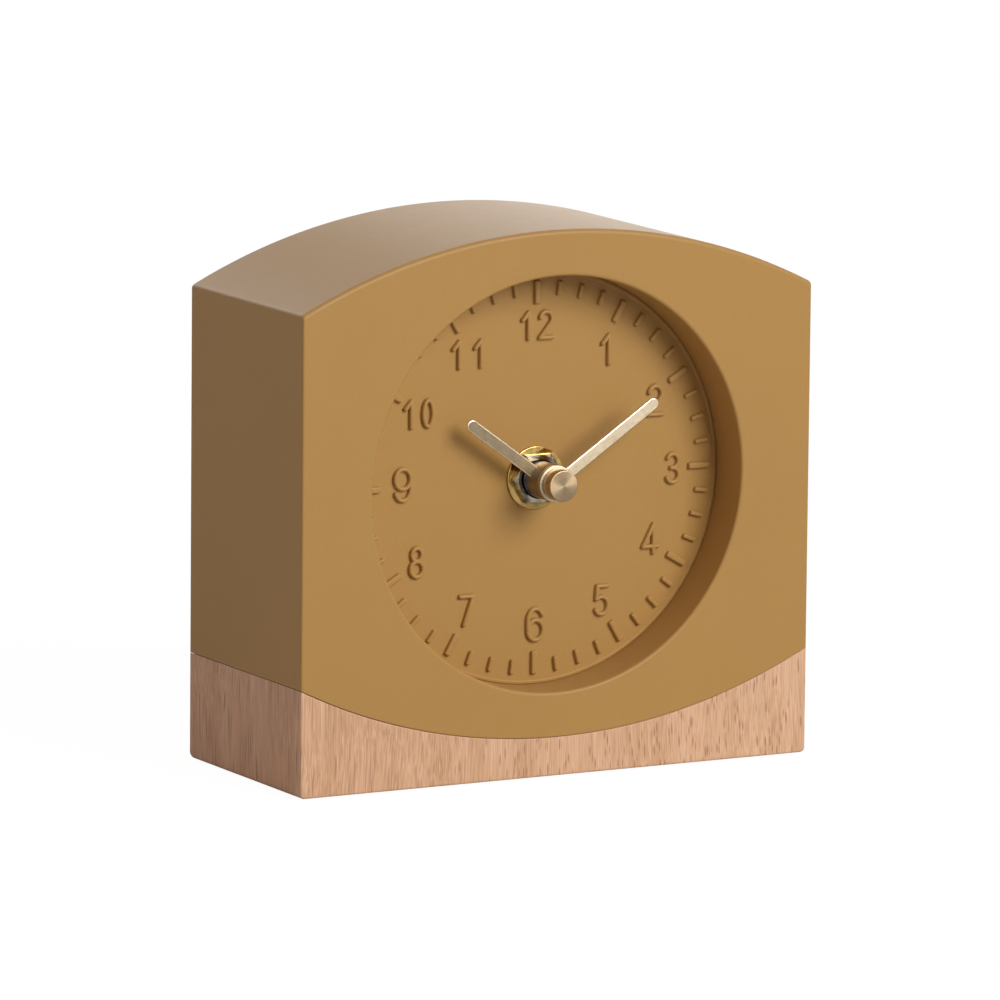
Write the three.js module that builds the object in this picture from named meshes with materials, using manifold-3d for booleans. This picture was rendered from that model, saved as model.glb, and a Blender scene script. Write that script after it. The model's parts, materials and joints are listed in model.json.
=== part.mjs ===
// A table clock: an arched moulded housing on a wooden base, with a sunk dial, two hands
// and a quartz movement.
// Millimetres, +Z up. The front faces -Y and +X is on the viewer's right.
// The origin is the middle of the footprint, on the surface that the clock stands on.
import * as THREE from "three";
import { mergeVertices } from "three/addons/utils/BufferGeometryUtils.js";
import Module from "manifold-3d";

const wasm = await Module();
wasm.setup();

// Body, laid out round the opening for the dial
const openingRadius = 47.3;
const sideMargin = 17.7; // from the opening to the sides
const rimMargin = 10.45; // from the opening to the crown of the arch, and to the lowest point of the seam
const archRise = 15.5; // the top arches up, and the seam with the base sags down, by this much
const baseMiddleHeight = 8.7; // of the wooden base, where it is thinnest
const bodyDepth = 55;
const edgeRadius = 1.2; // rounding of the front and back edges
const cornerRadius = 1.6; // rounding of the corners of the front outline
const innerRadius = 0.3; // least rounding of those corners on the inside
const seamGap = 0.3;

// Housing and back cover
const wall = 2.5;
const openingEdge = 0.7; // rounding of the rim of the opening
const recessDepth = 11.5; // from the front face to the dial
const sleeveWall = 2;
const coverThickness = 2.5;
const coverRecess = 1; // how far the back cover sits in from the back edge
const coverGap = 0.3;
const postRadius = 3.5;
const postInset = 2.5; // from a post to the side wall, and to the height where the arch starts
const wellGap = 0.5; // between the movement and the well that shows it at the back
const wellWall = 2;
const wellOverlap = 3; // how far the well reaches round the movement

// Feet, and the screws that hold the wooden base
const footRadius = 5;
const footProud = 0.6;
const footSink = 0.8; // how far a foot is let into the base
const footHoleGap = 0.3;
const footInset = 8; // from a foot to the edges of the base
const baseScrewInset = 25; // from a base screw to the side
const baseScrewSink = 5; // depth of the counterbore under the base
const baseScrewGrip = 7; // length of thread in the housing
const baseBossHeight = 10;

// Fasteners
const screwRadius = 1.2;
const screwHeadRadius = 2.8;
const screwHeadHeight = 1.6;
const screwLength = 8;
const pilotGap = 0.15; // between a thread and the hole that takes it
const holeGap = 0.4; // between a screw and the hole that it passes through
const headGap = 0.4; // between a screw's head and its counterbore

// Dial
const dialGap = 0.4; // between the dial's edge and the wall of the recess
const dialThickness = 2.5;
const dialEdge = 0.5;
const flangeThickness = 1.6;
const flangeWidth = 5;
const seatGap = 0.3;
const dialBossRadius = 3;
const dialBossGap = 2.7; // from the sleeve to a dial screw's boss
const earWall = 2.9; // of the dial's ears, round their screw holes
const reliefHeight = 0.8; // of the raised numerals and marks
const marksPerHour = 4;
const markInset = 1.9; // from the dial's edge to the marks
const hourMarkLength = 5.4;
const hourMarkWidth = 1.5;
const quarterMarkLength = 3.4;
const quarterMarkWidth = 1.1;
const numeralInset = 5.4; // from an hour mark to the middle of its numeral
const numeralHeight = 7.6;
const numeralStroke = 1.1;
const pairHeight = 7; // of the digits of 10, 11 and 12
const pairSpacing = { 10: 4.65, 11: 5.55, 12: 4.85 }; // between their two digits
// How far across and up each numeral lies from its place on the circle
const numeralShift = {
  1: [0.5, -1.1],
  2: [0.7, -1.2],
  3: [0.7, 0],
  4: [-0.3, 1],
  5: [-0.2, 0.5],
  6: [-0.2, 0.7],
  7: [-0.9, 0.8],
  8: [-1.1, 0.1],
  9: [-0.2, 0.9],
  10: [-1, -0.6],
  11: [-1, -0.2],
  12: [-0.7, 0.8],
};

// Tubes of the hands, one inside the other, and what holds the movement to the dial
const secondsArborRadius = 0.5;
const minuteTubeRadius = 1.6;
const tubeGap = 0.15;
const hourTubeWall = 0.75;
const bushWall = 1.35;
const bushGap = 0.3;
const gasketWidth = 4.7;
const gasketThickness = 0.5;
const washerWidth = 2.9;
const washerThickness = 0.6;
const nutWall = 1.5; // of the hexagon nut, at its flats
const nutThickness = 1.9;
const bushProud = 0.7; // how far the bush stands out of its nut

// Hands
const handWidth = 2.6;
const handThickness = 0.5;
const hubWall = 1.7;
const hourHandLength = 24.9;
const minuteHandLength = 31.3;
const hourHubHeight = 5.6;
const hourBladeRise = 1.6; // from the back of the hour hand's hub to its blade
const minuteHubLip = 0.1; // how far the minute hand's hub stands in front of its blade
const handSpacing = 0.4; // between the bush, the hour hand, the minute hand and the cap
const capWall = 1.7;
const capHeight = 3.3;
const capFace = 0.6; // thickness of the cap's closed end
const capEdge = 0.25;
const shownHour = 10;
const shownMinute = 9.4;
const hourHandLead = 1.2; // degrees by which the hour hand is pressed on ahead of the time

// Battery and movement case
const batteryRadius = 7.1;
const batteryLength = 49.2; // of the can, without the button
const batteryEdge = 0.5;
const buttonRadius = 2.75;
const buttonLength = 1.3;
const batteryGap = 0.45;
const batterySink = 0.15; // how far the battery lies below the back of the case
const contactThickness = 0.4;
const contactWidth = 9;
const contactGap = 0.15; // between the battery and its contacts
const springRise = 1.6;
const springWidth = 4;
const tailInset = 3; // from the board's edge to the positive contact's tail
const caseWall = 1.2;
const caseGap = 0.2;
const arborRadius = 0.5;
const pivotDepth = 0.7;
const pivotGap = 0.1;

// Wheels: teeth, modules and layers
const cannonTeeth = 10;
const cannonMargin = 0.05; // from the minute tube to the roots of its pinion
const minuteWheelTeeth = 30;
const minutePinionTeeth = 8;
const hourWheelTeeth = 32;
const settingTeeth = 10;
const centreModule = 0.4;
const centreTeeth = 45;
const thirdTeeth = 48;
const secondsTeeth = 36;
const secondsModule = 0.5;
const intermediateTeeth = 30;
const intermediateModule = 0.42;
const leafTeeth = 6; // leaves of every pinion in the going train
const wheelThickness = 0.8;
const pinionOverhang = 0.25; // how far a pinion reaches past the wheel that it drives
const firstLayerGap = 0.6; // from the case to the first wheel
const minuteWheelAngle = 105; // clock angles, clockwise from twelve as seen from the front
const settingAngle = 70;
const thirdAngle = 290;
const intermediateAngle = 15;
const rotorAngle = 80;
const rotorRadius = 2.6;
const rotorHeight = 2;
const rotorBossRadius = 2;
const rotorBossGap = 0.8; // from the rotor's boss to its pinion
const minutePostRadius = 0.7; // the fixed post that the minute wheel turns on
const clutchThickness = 0.3;
const clutchWidth = 1.25;
const clutchGap = 0.3;
const clutchReach = 0.1; // how far the minute tube reaches behind the clutch washer
const stemRadius = 1.35;
const knobRadius = 5;
const knobHeight = 4.4;
const knobEdge = 0.6;
const knobFlutes = 14;
const fluteRadius = 0.6;
const fluteDepth = 0.42;
const knobGap = 0.4;

// Motor and circuit
const sheetThickness = 0.8;
const rotorGap = 0.6;
const coreWidth = 3;
const coilLength = 21;
const coilHeight = 7.2;
const coilRoom = 1.1; // from the stator to the back cover of the case
const bobbinWall = 0.5;
const coilInset = 1.6; // from the coil to the top wall of the case
const boardThickness = 1;
const boardHeight = 17;
const boardGap = 1.2; // from the board to the stator and the top wall
const chipRadius = 3;
const chipHeight = 0.9;
const crystalRadius = 1;
const crystalLength = 6;
const supportRadius = 1.4;
const supportGap = 0.5; // from a post under the stator to the coil
const coilGap = 1.1; // the least that the coil keeps from the intermediate wheel

// Teeth, as shares of their pitch and in modules
const rootShare = 0.25; // half a tooth at its root
const tipShare = 0.08;
const addendum = 0.95;
const dedendum = 1.25;

const radians = (degrees) => (degrees * Math.PI) / 180;

// The [x, z] point at a clock angle, clockwise from twelve as seen from the front
const clockPoint = (degrees, radius, [x, z] = [0, 0]) => [
  x + radius * Math.sin(radians(degrees)),
  z + radius * Math.cos(radians(degrees)),
];

const pitchRadius = (teeth, module) => (teeth * module) / 2;
const tipRadius = (teeth, module) => pitchRadius(teeth, module) + addendum * module;

// Sizes that follow
const halfWidth = openingRadius + sideMargin;
const housingSideHeight = 2 * (openingRadius + rimMargin - archRise);
const baseSideHeight = baseMiddleHeight + archRise;
const dialRadius = openingRadius - dialGap;
const markOuterRadius = dialRadius - markInset;
const numeralRadius = markOuterRadius - hourMarkLength - numeralInset;
const hourTubeRadius = minuteTubeRadius + tubeGap + hourTubeWall;
const bushRadius = hourTubeRadius + tubeGap + bushWall;
const bushHoleRadius = bushRadius + bushGap;
const nutAcrossFlats = 2 * (bushRadius + nutWall);
const handHubRadius = hourTubeRadius + hubWall;
const minuteHubHeight = handThickness + minuteHubLip;
const capRadius = minuteTubeRadius + tubeGap + capWall;
const pilotRadius = screwRadius + pilotGap;
const clearRadius = screwRadius + holeGap;
const headHoleRadius = screwHeadRadius + headGap;
const earRadius = clearRadius + earWall;
const footSeatZ = footProud + footSink;
const motionModule = (minuteTubeRadius + cannonMargin) / (cannonTeeth / 2 - dedendum);
const firstLayer = caseWall + firstLayerGap;
const layerStep = wheelThickness + clutchGap + clutchThickness + clutchReach + pinionOverhang + pivotGap;
const layerY = (index) => firstLayer + layerStep * index;
const cellDepth = caseWall + batteryGap + 2 * batteryRadius + batterySink;
const trainDepth = layerY(6) + sheetThickness + coilRoom + caseWall;
const caseDepth = Math.max(cellDepth, trainDepth);
const contactRoom = caseGap + contactThickness + contactGap;
const cellWidth = batteryLength + buttonLength + springRise + 2 * (contactRoom + caseWall);
const intermediateDistance = pitchRadius(secondsTeeth + leafTeeth, secondsModule);
const intermediatePlace = clockPoint(intermediateAngle, intermediateDistance);
const intermediateTopZ = intermediatePlace[1] + tipRadius(intermediateTeeth, intermediateModule);
const trainHeight = 2 * (intermediateTopZ + coilGap + coilHeight + coilInset + caseWall);
const caseSize = Math.max(cellWidth, trainHeight);

// Places that follow
const stackHeight =
  washerThickness +
  nutThickness +
  bushProud +
  hourHubHeight +
  minuteHubHeight +
  2.5 * handSpacing +
  capHeight;
const capProud = Math.max(stackHeight - recessDepth, 0); // how far the cap stands out of the front
const frontY = (capProud - bodyDepth) / 2;
const backY = frontY + bodyDepth;
const middleY = (frontY + backY) / 2;
const baseBottomZ = footProud;
const seamSideZ = baseBottomZ + baseSideHeight;
const sideTopZ = seamSideZ + housingSideHeight;
const dialCentreZ = (seamSideZ + sideTopZ) / 2;
const archRadius = (halfWidth ** 2 + archRise ** 2) / (2 * archRise);
const archCentreZ = sideTopZ + archRise - archRadius;
const seamCentreZ = seamSideZ - archRise + archRadius;
const dialFaceY = frontY + recessDepth;
const dialBackY = dialFaceY + dialThickness;
const flangeBackY = dialBackY + flangeThickness;
const movementFrontY = dialBackY + gasketThickness;
const coverBackY = backY - coverRecess;
const coverFrontY = coverBackY - coverThickness;
const screwSeatY = coverBackY - coverThickness / 2;
const dialScrewCircle = openingRadius + sleeveWall + dialBossGap + dialBossRadius;
const bushEndY = dialFaceY - washerThickness - nutThickness - bushProud;
const hourHubBackY = bushEndY - handSpacing;
const minuteHubBackY = hourHubBackY - hourHubHeight - handSpacing;
const capBackY = minuteHubBackY - minuteHubHeight - handSpacing / 2;
const hourAngle = ((shownHour + shownMinute / 60) / 12) * 360 + hourHandLead;
const minuteAngle = (shownMinute / 60) * 360;

// How finely round forms are drawn
const archSegments = 24;
const seamSegments = 180; // of a full turn of the seam's arc
const wideSegments = 60; // of the opening and the dial
const roundShare = 1 - Math.SQRT1_2; // where the middle of a quarter round lies
const cutMargin = 1; // how far a cutter runs past the face that it opens

// Finishes
const finish = (color, roughness, metalness = 0) => () =>
  new THREE.MeshStandardMaterial({ color, roughness, metalness });
const paint = finish(0xb48b50, 0.5);
const oak = finish(0xcfa27e, 0.65);
const paleGold = finish(0xcdbd98, 0.35, 1);
const brass = finish(0xd9b25c, 0.22, 1);
const steel = finish(0xb9bcc0, 0.35, 1);
const copper = finish(0xb8693c, 0.4, 1);
const blackPlastic = finish(0x1d1d1f, 0.55);
const whitePlastic = finish(0xe9e6dc, 0.5);
const rubber = finish(0x2a2926, 0.9);
const boardGreen = finish(0x2f6b45, 0.5);
const batterySleeve = finish(0x9a9a9c, 0.35);

// Basic forms

function solid(geometry) {
  const bare = geometry.clone();
  for (const name of Object.keys(bare.attributes)) {
    if (name !== "position") bare.deleteAttribute(name);
  }
  const merged = mergeVertices(bare, 1e-4);
  const index = merged.index.array;
  const triangles = [];
  for (let i = 0; i < index.length; i += 3) {
    const [a, b, c] = index.slice(i, i + 3);
    if (a !== b && b !== c && c !== a) triangles.push(a, b, c);
  }
  const vertProperties = new Float32Array(merged.attributes.position.array);
  const build = (list) =>
    new wasm.Manifold(new wasm.Mesh({ numProp: 3, vertProperties, triVerts: new Uint32Array(list) }));
  const made = build(triangles);
  return made.volume() < 0 ? build(triangles.reverse()) : made;
}

function geometryOf(made) {
  const { vertProperties, triVerts, numProp, numVert } = made.getMesh();
  const positions = new Float32Array(numVert * 3);
  for (let i = 0; i < numVert; i += 1) {
    positions.set(vertProperties.subarray(i * numProp, i * numProp + 3), i * 3);
  }
  const geometry = new THREE.BufferGeometry();
  geometry.setAttribute("position", new THREE.BufferAttribute(positions, 3));
  geometry.setIndex(new THREE.BufferAttribute(new Uint32Array(triVerts), 1));
  geometry.computeVertexNormals();
  return geometry;
}

const join = (first, ...rest) => rest.reduce((whole, piece) => whole.add(piece), first);
const cut = (first, ...rest) => rest.reduce((whole, piece) => whole.subtract(piece), first);

function box(x0, x1, y0, y1, z0, z1) {
  const geometry = new THREE.BoxGeometry(x1 - x0, y1 - y0, z1 - z0);
  return solid(geometry.translate((x0 + x1) / 2, (y0 + y1) / 2, (z0 + z1) / 2));
}

// A round bar along Y
function rod(radius, y0, y1, x = 0, z = 0, segments = 24) {
  const geometry = new THREE.CylinderGeometry(radius, radius, y1 - y0, segments);
  return solid(geometry.translate(x, (y0 + y1) / 2, z));
}

// A round bar along Z
function upright(radius, z0, z1, x = 0, y = 0, segments = 24) {
  const geometry = new THREE.CylinderGeometry(radius, radius, z1 - z0, segments);
  return solid(geometry.rotateX(Math.PI / 2).translate(x, y, (z0 + z1) / 2));
}

// A closed profile of [radius, y] points, turned about the Y axis
function turned(profile, segments = 24) {
  const points = profile.map(([r, y]) => new THREE.Vector2(r, y));
  return solid(new THREE.LatheGeometry(points, segments));
}

// An outline of [x, z] points, or a shape, carried along Y
function carried(outline, y0, y1, bevel = 0) {
  const isShape = outline instanceof THREE.Shape;
  const shape = isShape ? outline : new THREE.Shape(outline.map(([x, z]) => new THREE.Vector2(x, z)));
  const geometry = new THREE.ExtrudeGeometry(shape, {
    depth: y1 - y0 - 2 * bevel,
    steps: 1,
    curveSegments: 8,
    bevelEnabled: bevel > 0,
    bevelThickness: bevel,
    bevelSize: bevel,
    bevelOffset: -bevel,
    bevelSegments: 2,
  });
  return solid(geometry.rotateX(Math.PI / 2).translate(0, y1 - bevel, 0));
}

function arcPoints(cx, cz, radius, from, to, segments) {
  return Array.from({ length: segments + 1 }, (_, i) => {
    const angle = from + ((to - from) * i) / segments;
    return [cx + radius * Math.cos(angle), cz + radius * Math.sin(angle)];
  });
}

const corners = (x, z) => [
  [-x, z],
  [x, z],
  [-x, -z],
  [x, -z],
];

// The clock, the pieces on the dial's axis and the pieces in the movement

const clock = new THREE.Group();
const dialGroup = new THREE.Group();
dialGroup.position.set(0, 0, dialCentreZ);
const movementGroup = new THREE.Group();
movementGroup.position.set(0, movementFrontY, 0);
dialGroup.add(movementGroup);
clock.add(dialGroup);

function part(group, name, made, material, [x, y, z] = [0, 0, 0], turn = 0) {
  const mesh = new THREE.Mesh(geometryOf(made), material());
  mesh.name = name;
  mesh.position.set(x, y, z);
  mesh.rotation.y = turn;
  group.add(mesh);
}

// Body: one rounded outline, divided by the arc of the seam

function bodyOutline(inset) {
  const side = halfWidth - inset;
  const bottom = baseBottomZ + inset;
  const radius = Math.max(cornerRadius - inset, innerRadius);
  const arch = archRadius - inset;
  const filletX = side - radius;
  const filletZ = archCentreZ + Math.sqrt((arch - radius) ** 2 - filletX ** 2);
  const meet = Math.atan2(filletZ - archCentreZ, filletX);
  const right = Math.PI - meet;
  return [
    ...arcPoints(side - radius, bottom + radius, radius, -Math.PI / 2, 0, 3),
    ...arcPoints(filletX, filletZ, radius, 0, meet, 3),
    ...arcPoints(0, archCentreZ, arch, meet, right, archSegments).slice(1, -1),
    ...arcPoints(-filletX, filletZ, radius, right, Math.PI, 3),
    ...arcPoints(-side + radius, bottom + radius, radius, Math.PI, 1.5 * Math.PI, 3),
  ];
}

// What lies above the seam, pulled in from it by a distance
const aboveSeam = (inset) =>
  rod(archRadius - inset, frontY - cutMargin, backY + cutMargin, 0, seamCentreZ, seamSegments);
const seamZ = (x) => seamCentreZ - Math.sqrt(archRadius ** 2 - x ** 2);

const wholeBody = carried(bodyOutline(0), frontY, backY, edgeRadius);
const postX = halfWidth - wall - postInset - postRadius;
const postZ = housingSideHeight / 2 - postInset - postRadius;
const postPlaces = corners(postX, postZ).map(([x, z]) => [x, dialCentreZ + z]);
const dialScrewPlaces = [45, 135, 225, 315].map((angle) => clockPoint(angle, dialScrewCircle));
const baseScrewPlaces = [baseScrewInset - halfWidth, halfWidth - baseScrewInset];

function frontHousing() {
  const outside = wholeBody.intersect(aboveSeam(seamGap));
  const rootY = frontY + wall / 2;
  const hollow = carried(bodyOutline(wall), frontY + wall, backY + cutMargin);
  const cavity = hollow.intersect(aboveSeam(seamGap + wall));
  const sleeveEndY = dialBackY - seatGap;
  const sleeve = rod(openingRadius + sleeveWall, rootY, sleeveEndY, 0, dialCentreZ, wideSegments);
  const posts = postPlaces.map(([x, z]) => rod(postRadius, rootY, coverFrontY, x, z, 16));
  const dialBosses = dialScrewPlaces.map(([x, z]) =>
    rod(dialBossRadius, rootY, sleeveEndY, x, dialCentreZ + z, 16),
  );
  const baseBosses = baseScrewPlaces.map((x) => {
    const top = seamZ(x) + seamGap + wall + baseBossHeight;
    return upright(postRadius, baseBottomZ, top, x, middleY, 16).intersect(outside);
  });
  const opening = turned(
    [
      [0, frontY - cutMargin],
      [openingRadius + openingEdge + cutMargin, frontY - cutMargin],
      [openingRadius + openingEdge, frontY],
      [openingRadius + openingEdge * roundShare, frontY + openingEdge * roundShare],
      [openingRadius, frontY + openingEdge],
      [openingRadius, sleeveEndY + cutMargin],
      [0, sleeveEndY + cutMargin],
    ],
    wideSegments,
  ).translate([0, 0, dialCentreZ]);
  const postPilots = postPlaces.map(([x, z]) => rod(pilotRadius, coverFrontY - screwLength, backY, x, z, 10));
  const dialPilots = dialScrewPlaces.map(([x, z]) =>
    rod(pilotRadius, sleeveEndY - screwLength, sleeveEndY + cutMargin, x, dialCentreZ + z, 10),
  );
  const basePilots = baseScrewPlaces.map((x) =>
    upright(pilotRadius, baseBottomZ, seamZ(x) + baseScrewGrip + holeGap, x, middleY, 10),
  );
  const shell = join(outside.subtract(cavity), sleeve, ...posts, ...dialBosses, ...baseBosses);
  return cut(shell, opening, ...postPilots, ...dialPilots, ...basePilots);
}

const wellHalf = caseSize / 2 + wellGap;

function backCover() {
  const panel = carried(bodyOutline(wall + coverGap), coverFrontY, coverBackY).intersect(
    aboveSeam(seamGap + wall + coverGap),
  );
  const outer = wellHalf + wellWall;
  const wellFrontY = movementFrontY + caseDepth - wellOverlap;
  const wellOuter = box(-outer, outer, wellFrontY, coverBackY, dialCentreZ - outer, dialCentreZ + outer);
  const wellInner = box(
    -wellHalf,
    wellHalf,
    wellFrontY - cutMargin,
    coverBackY + cutMargin,
    dialCentreZ - wellHalf,
    dialCentreZ + wellHalf,
  );
  const holes = postPlaces.flatMap(([x, z]) => [
    rod(clearRadius, coverFrontY - cutMargin, coverBackY + cutMargin, x, z, 12),
    rod(headHoleRadius, screwSeatY, coverBackY + cutMargin, x, z, 16),
  ]);
  return cut(panel.add(wellOuter), wellInner, ...holes);
}

const footX = halfWidth - footInset - footRadius;
const footY = bodyDepth / 2 - footInset - footRadius;

function woodBase() {
  const block = wholeBody.subtract(aboveSeam(0));
  const footHoles = corners(footX, footY).map(([x, y]) =>
    upright(footRadius + footHoleGap, baseBottomZ - cutMargin, footSeatZ, x, middleY + y, 20),
  );
  const screwHoles = baseScrewPlaces.flatMap((x) => [
    upright(clearRadius, baseBottomZ - cutMargin, seamZ(x) + wall, x, middleY, 12),
    upright(headHoleRadius, baseBottomZ - cutMargin, baseBottomZ + baseScrewSink, x, middleY, 16),
  ]);
  return cut(block, ...footHoles, ...screwHoles);
}

// A flat-head screw along Y, its seat at y = 0 and its thread towards -Y
function screw(length) {
  return turned(
    [
      [0, -length],
      [screwRadius, -length],
      [screwRadius, 0],
      [screwHeadRadius, 0],
      [screwHeadRadius, screwHeadHeight],
      [0, screwHeadHeight],
    ],
    12,
  );
}

part(clock, "front_housing", frontHousing(), paint);
part(clock, "back_cover", backCover(), paint);
part(clock, "wood_base", woodBase(), oak);
postPlaces.forEach(([x, z], i) => {
  part(clock, `back_cover_screw_${i + 1}`, screw(screwLength), steel, [x, screwSeatY, z]);
});
corners(footX, footY).forEach(([x, y], i) => {
  part(clock, `foot_pad_${i + 1}`, upright(footRadius, 0, footSeatZ, 0, 0, 20), rubber, [x, middleY + y, 0]);
});
baseScrewPlaces.forEach((x, i) => {
  const seatZ = baseBottomZ + baseScrewSink;
  const length = seamZ(x) + baseScrewGrip - seatZ;
  part(clock, `base_screw_${i + 1}`, screw(length).rotate([-90, 0, 0]), steel, [x, middleY, seatZ]);
});

// Dial: a disc with raised marks and numerals, on a flange that is screwed in from behind

// Numerals are strokes in a cell of height 1, drawn from x, z points
function curl(cx, cz, rx, rz, from, to, steps) {
  return Array.from({ length: steps + 1 }, (_, i) => {
    const angle = radians(from + ((to - from) * i) / steps);
    return [cx + rx * Math.cos(angle), cz + rz * Math.sin(angle)];
  });
}

const sixStrokes = [
  { closed: true, points: curl(0, 0.3, 0.3, 0.35, 0, 360, 12).slice(0, -1) },
  { points: [[-0.3, 0.3], ...curl(0, 0.65, 0.3, 0.4, 180, 25, 6)] },
];
const upsideDown = ({ closed, points }) => ({ closed, points: points.map(([x, z]) => [-x, 1 - z]) });

const digitStrokes = {
  0: [{ closed: true, points: curl(0, 0.5, 0.2, 0.5, 0, 360, 12).slice(0, -1) }],
  1: [{ points: [[-0.19, 0.72], [0.06, 1], [0.06, 0]] }],
  2: [{ points: [...curl(0, 0.73, 0.25, 0.27, 170, -30, 7), [-0.27, 0], [0.28, 0]] }],
  3: [
    { points: [...curl(-0.01, 0.755, 0.22, 0.245, 155, -90, 7), [-0.07, 0.51]] },
    { points: [[-0.07, 0.51], ...curl(-0.01, 0.255, 0.24, 0.255, 90, -155, 7)] },
  ],
  4: [
    { points: [[0.12, 1], [-0.29, 0.23], [0.31, 0.23]] },
    { points: [[0.12, 1], [0.12, 0]] },
  ],
  5: [{ points: [[0.23, 1], [-0.17, 1], [-0.21, 0.55], ...curl(-0.01, 0.31, 0.255, 0.31, 120, -150, 8)] }],
  6: sixStrokes,
  7: [{ points: [[-0.25, 1], [0.25, 1], [-0.1, 0]] }],
  8: [
    { closed: true, points: curl(0, 0.77, 0.19, 0.23, 0, 360, 10).slice(0, -1) },
    { closed: true, points: curl(0, 0.27, 0.24, 0.27, 0, 360, 10).slice(0, -1) },
  ],
  9: sixStrokes.map(upsideDown),
};

// A line of constant width along points, as an outline, or as a ring if it is closed
function strokeShape(points, width, closed = false) {
  const at = points.map(([x, z]) => new THREE.Vector2(x, z));
  const count = at.length;
  const sideOf = (sign) =>
    at.map((point, i) => {
      const before = at[closed ? (i + count - 1) % count : Math.max(i - 1, 0)];
      const after = at[closed ? (i + 1) % count : Math.min(i + 1, count - 1)];
      const into = point.clone().sub(before).normalize();
      const out = after.clone().sub(point).normalize();
      if (into.length() === 0) into.copy(out);
      if (out.length() === 0) out.copy(into);
      const along = into.clone().add(out).normalize();
      const reach = width / 2 / Math.max(along.dot(into), 0.5);
      return new THREE.Vector2(point.x - along.y * sign * reach, point.y + along.x * sign * reach);
    });
  if (!closed) return new THREE.Shape([...sideOf(1), ...sideOf(-1).reverse()]);
  const ring = new THREE.Shape(sideOf(-1));
  ring.holes.push(new THREE.Path(sideOf(1)));
  return ring;
}

function numeral(hour, y0, y1) {
  const [x, z] = clockPoint(30 * hour, numeralRadius, numeralShift[hour]);
  const pair = hour in pairSpacing;
  const span = (pair ? pairHeight : numeralHeight) - numeralStroke;
  return [...String(hour)].flatMap((digit, i) => {
    const left = pair ? (i - 0.5) * pairSpacing[hour] : 0;
    return digitStrokes[digit].map(({ points, closed }) => {
      const placed = points.map(([px, pz]) => [x + left + px * span, z + (pz - 0.5) * span]);
      return carried(strokeShape(placed, numeralStroke, closed), y0, y1);
    });
  });
}

function dial() {
  const disc = turned(
    [
      [0, dialFaceY],
      [dialRadius - dialEdge, dialFaceY],
      [dialRadius - dialEdge * roundShare, dialFaceY + dialEdge * roundShare],
      [dialRadius, dialFaceY + dialEdge],
      [dialRadius, flangeBackY],
      [0, flangeBackY],
    ],
    wideSegments,
  );
  const flange = rod(openingRadius + sleeveWall, dialBackY, flangeBackY, 0, 0, wideSegments);
  const earRootZ = openingRadius - flangeWidth / 2;
  const ears = dialScrewPlaces.flatMap(([x, z], i) => {
    const neck = box(-earRadius, earRadius, dialBackY, flangeBackY, earRootZ, dialScrewCircle);
    return [rod(earRadius, dialBackY, flangeBackY, x, z, 16), neck.rotate([0, 45 + 90 * i, 0])];
  });
  const hollow = rod(openingRadius - flangeWidth, dialBackY, flangeBackY + cutMargin, 0, 0, wideSegments);
  const holes = dialScrewPlaces.map(([x, z]) =>
    rod(clearRadius, dialBackY - cutMargin, flangeBackY + cutMargin, x, z, 12),
  );
  const bushHole = rod(bushHoleRadius, dialFaceY - cutMargin, dialBackY + cutMargin, 0, 0, 24);
  const root = dialFaceY + reliefHeight;
  const top = dialFaceY - reliefHeight;
  const markCount = 12 * marksPerHour;
  const marks = Array.from({ length: markCount }, (_, i) => {
    const onHour = i % marksPerHour === 0;
    const length = onHour ? hourMarkLength : quarterMarkLength;
    const half = (onHour ? hourMarkWidth : quarterMarkWidth) / 2;
    const mark = box(-half, half, top, root, markOuterRadius - length, markOuterRadius);
    return mark.rotate([0, (360 / markCount) * i, 0]);
  });
  const numerals = Array.from({ length: 12 }, (_, i) => numeral(i + 1, top, root)).flat();
  const plate = cut(join(disc, flange, ...ears), hollow, bushHole, ...holes);
  return join(plate, ...marks, ...numerals);
}

part(dialGroup, "dial", dial(), paint);
dialScrewPlaces.forEach(([x, z], i) => {
  part(dialGroup, `dial_screw_${i + 1}`, screw(screwLength), steel, [x, flangeBackY, z]);
});

const ring = (inner, outer, y0, y1, segments = 24) =>
  rod(outer, y0, y1, 0, 0, segments).subtract(rod(inner, y0 - cutMargin, y1 + cutMargin, 0, 0, segments));

const nutBackY = dialFaceY - washerThickness;
const hexagon = new THREE.Shape(
  Array.from({ length: 6 }, (_, i) => {
    const [x, z] = clockPoint(30 + 60 * i, nutAcrossFlats / 2 / Math.cos(Math.PI / 6));
    return new THREE.Vector2(x, z);
  }),
);
const threadHole = (y0, y1) => rod(bushRadius + pilotGap, y0 - cutMargin, y1 + cutMargin);
const nutFrontY = nutBackY - nutThickness;
const nut = carried(hexagon, nutFrontY, nutBackY).subtract(threadHole(nutFrontY, nutBackY));
const washer = ring(bushHoleRadius, bushHoleRadius + washerWidth, nutBackY, dialFaceY);
const gasket = ring(bushHoleRadius, bushHoleRadius + gasketWidth, dialBackY, movementFrontY);
part(dialGroup, "dial_washer", washer, brass);
part(dialGroup, "dial_nut", nut, brass);
part(dialGroup, "movement_gasket", gasket, rubber);

// Hands, set at the shown time

function hand(length, hubBackY, hubHeight, bore, bladeBackY) {
  const half = handWidth / 2;
  const outline = [[-half, 0], [half, 0], ...arcPoints(0, length - half, half, 0, Math.PI, 8)];
  const blade = carried(outline, bladeBackY - handThickness, bladeBackY);
  const hub = rod(handHubRadius, hubBackY - hubHeight, hubBackY, 0, 0, 32);
  return join(hub, blade).subtract(rod(bore, hubBackY - hubHeight - cutMargin, hubBackY + cutMargin));
}

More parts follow.
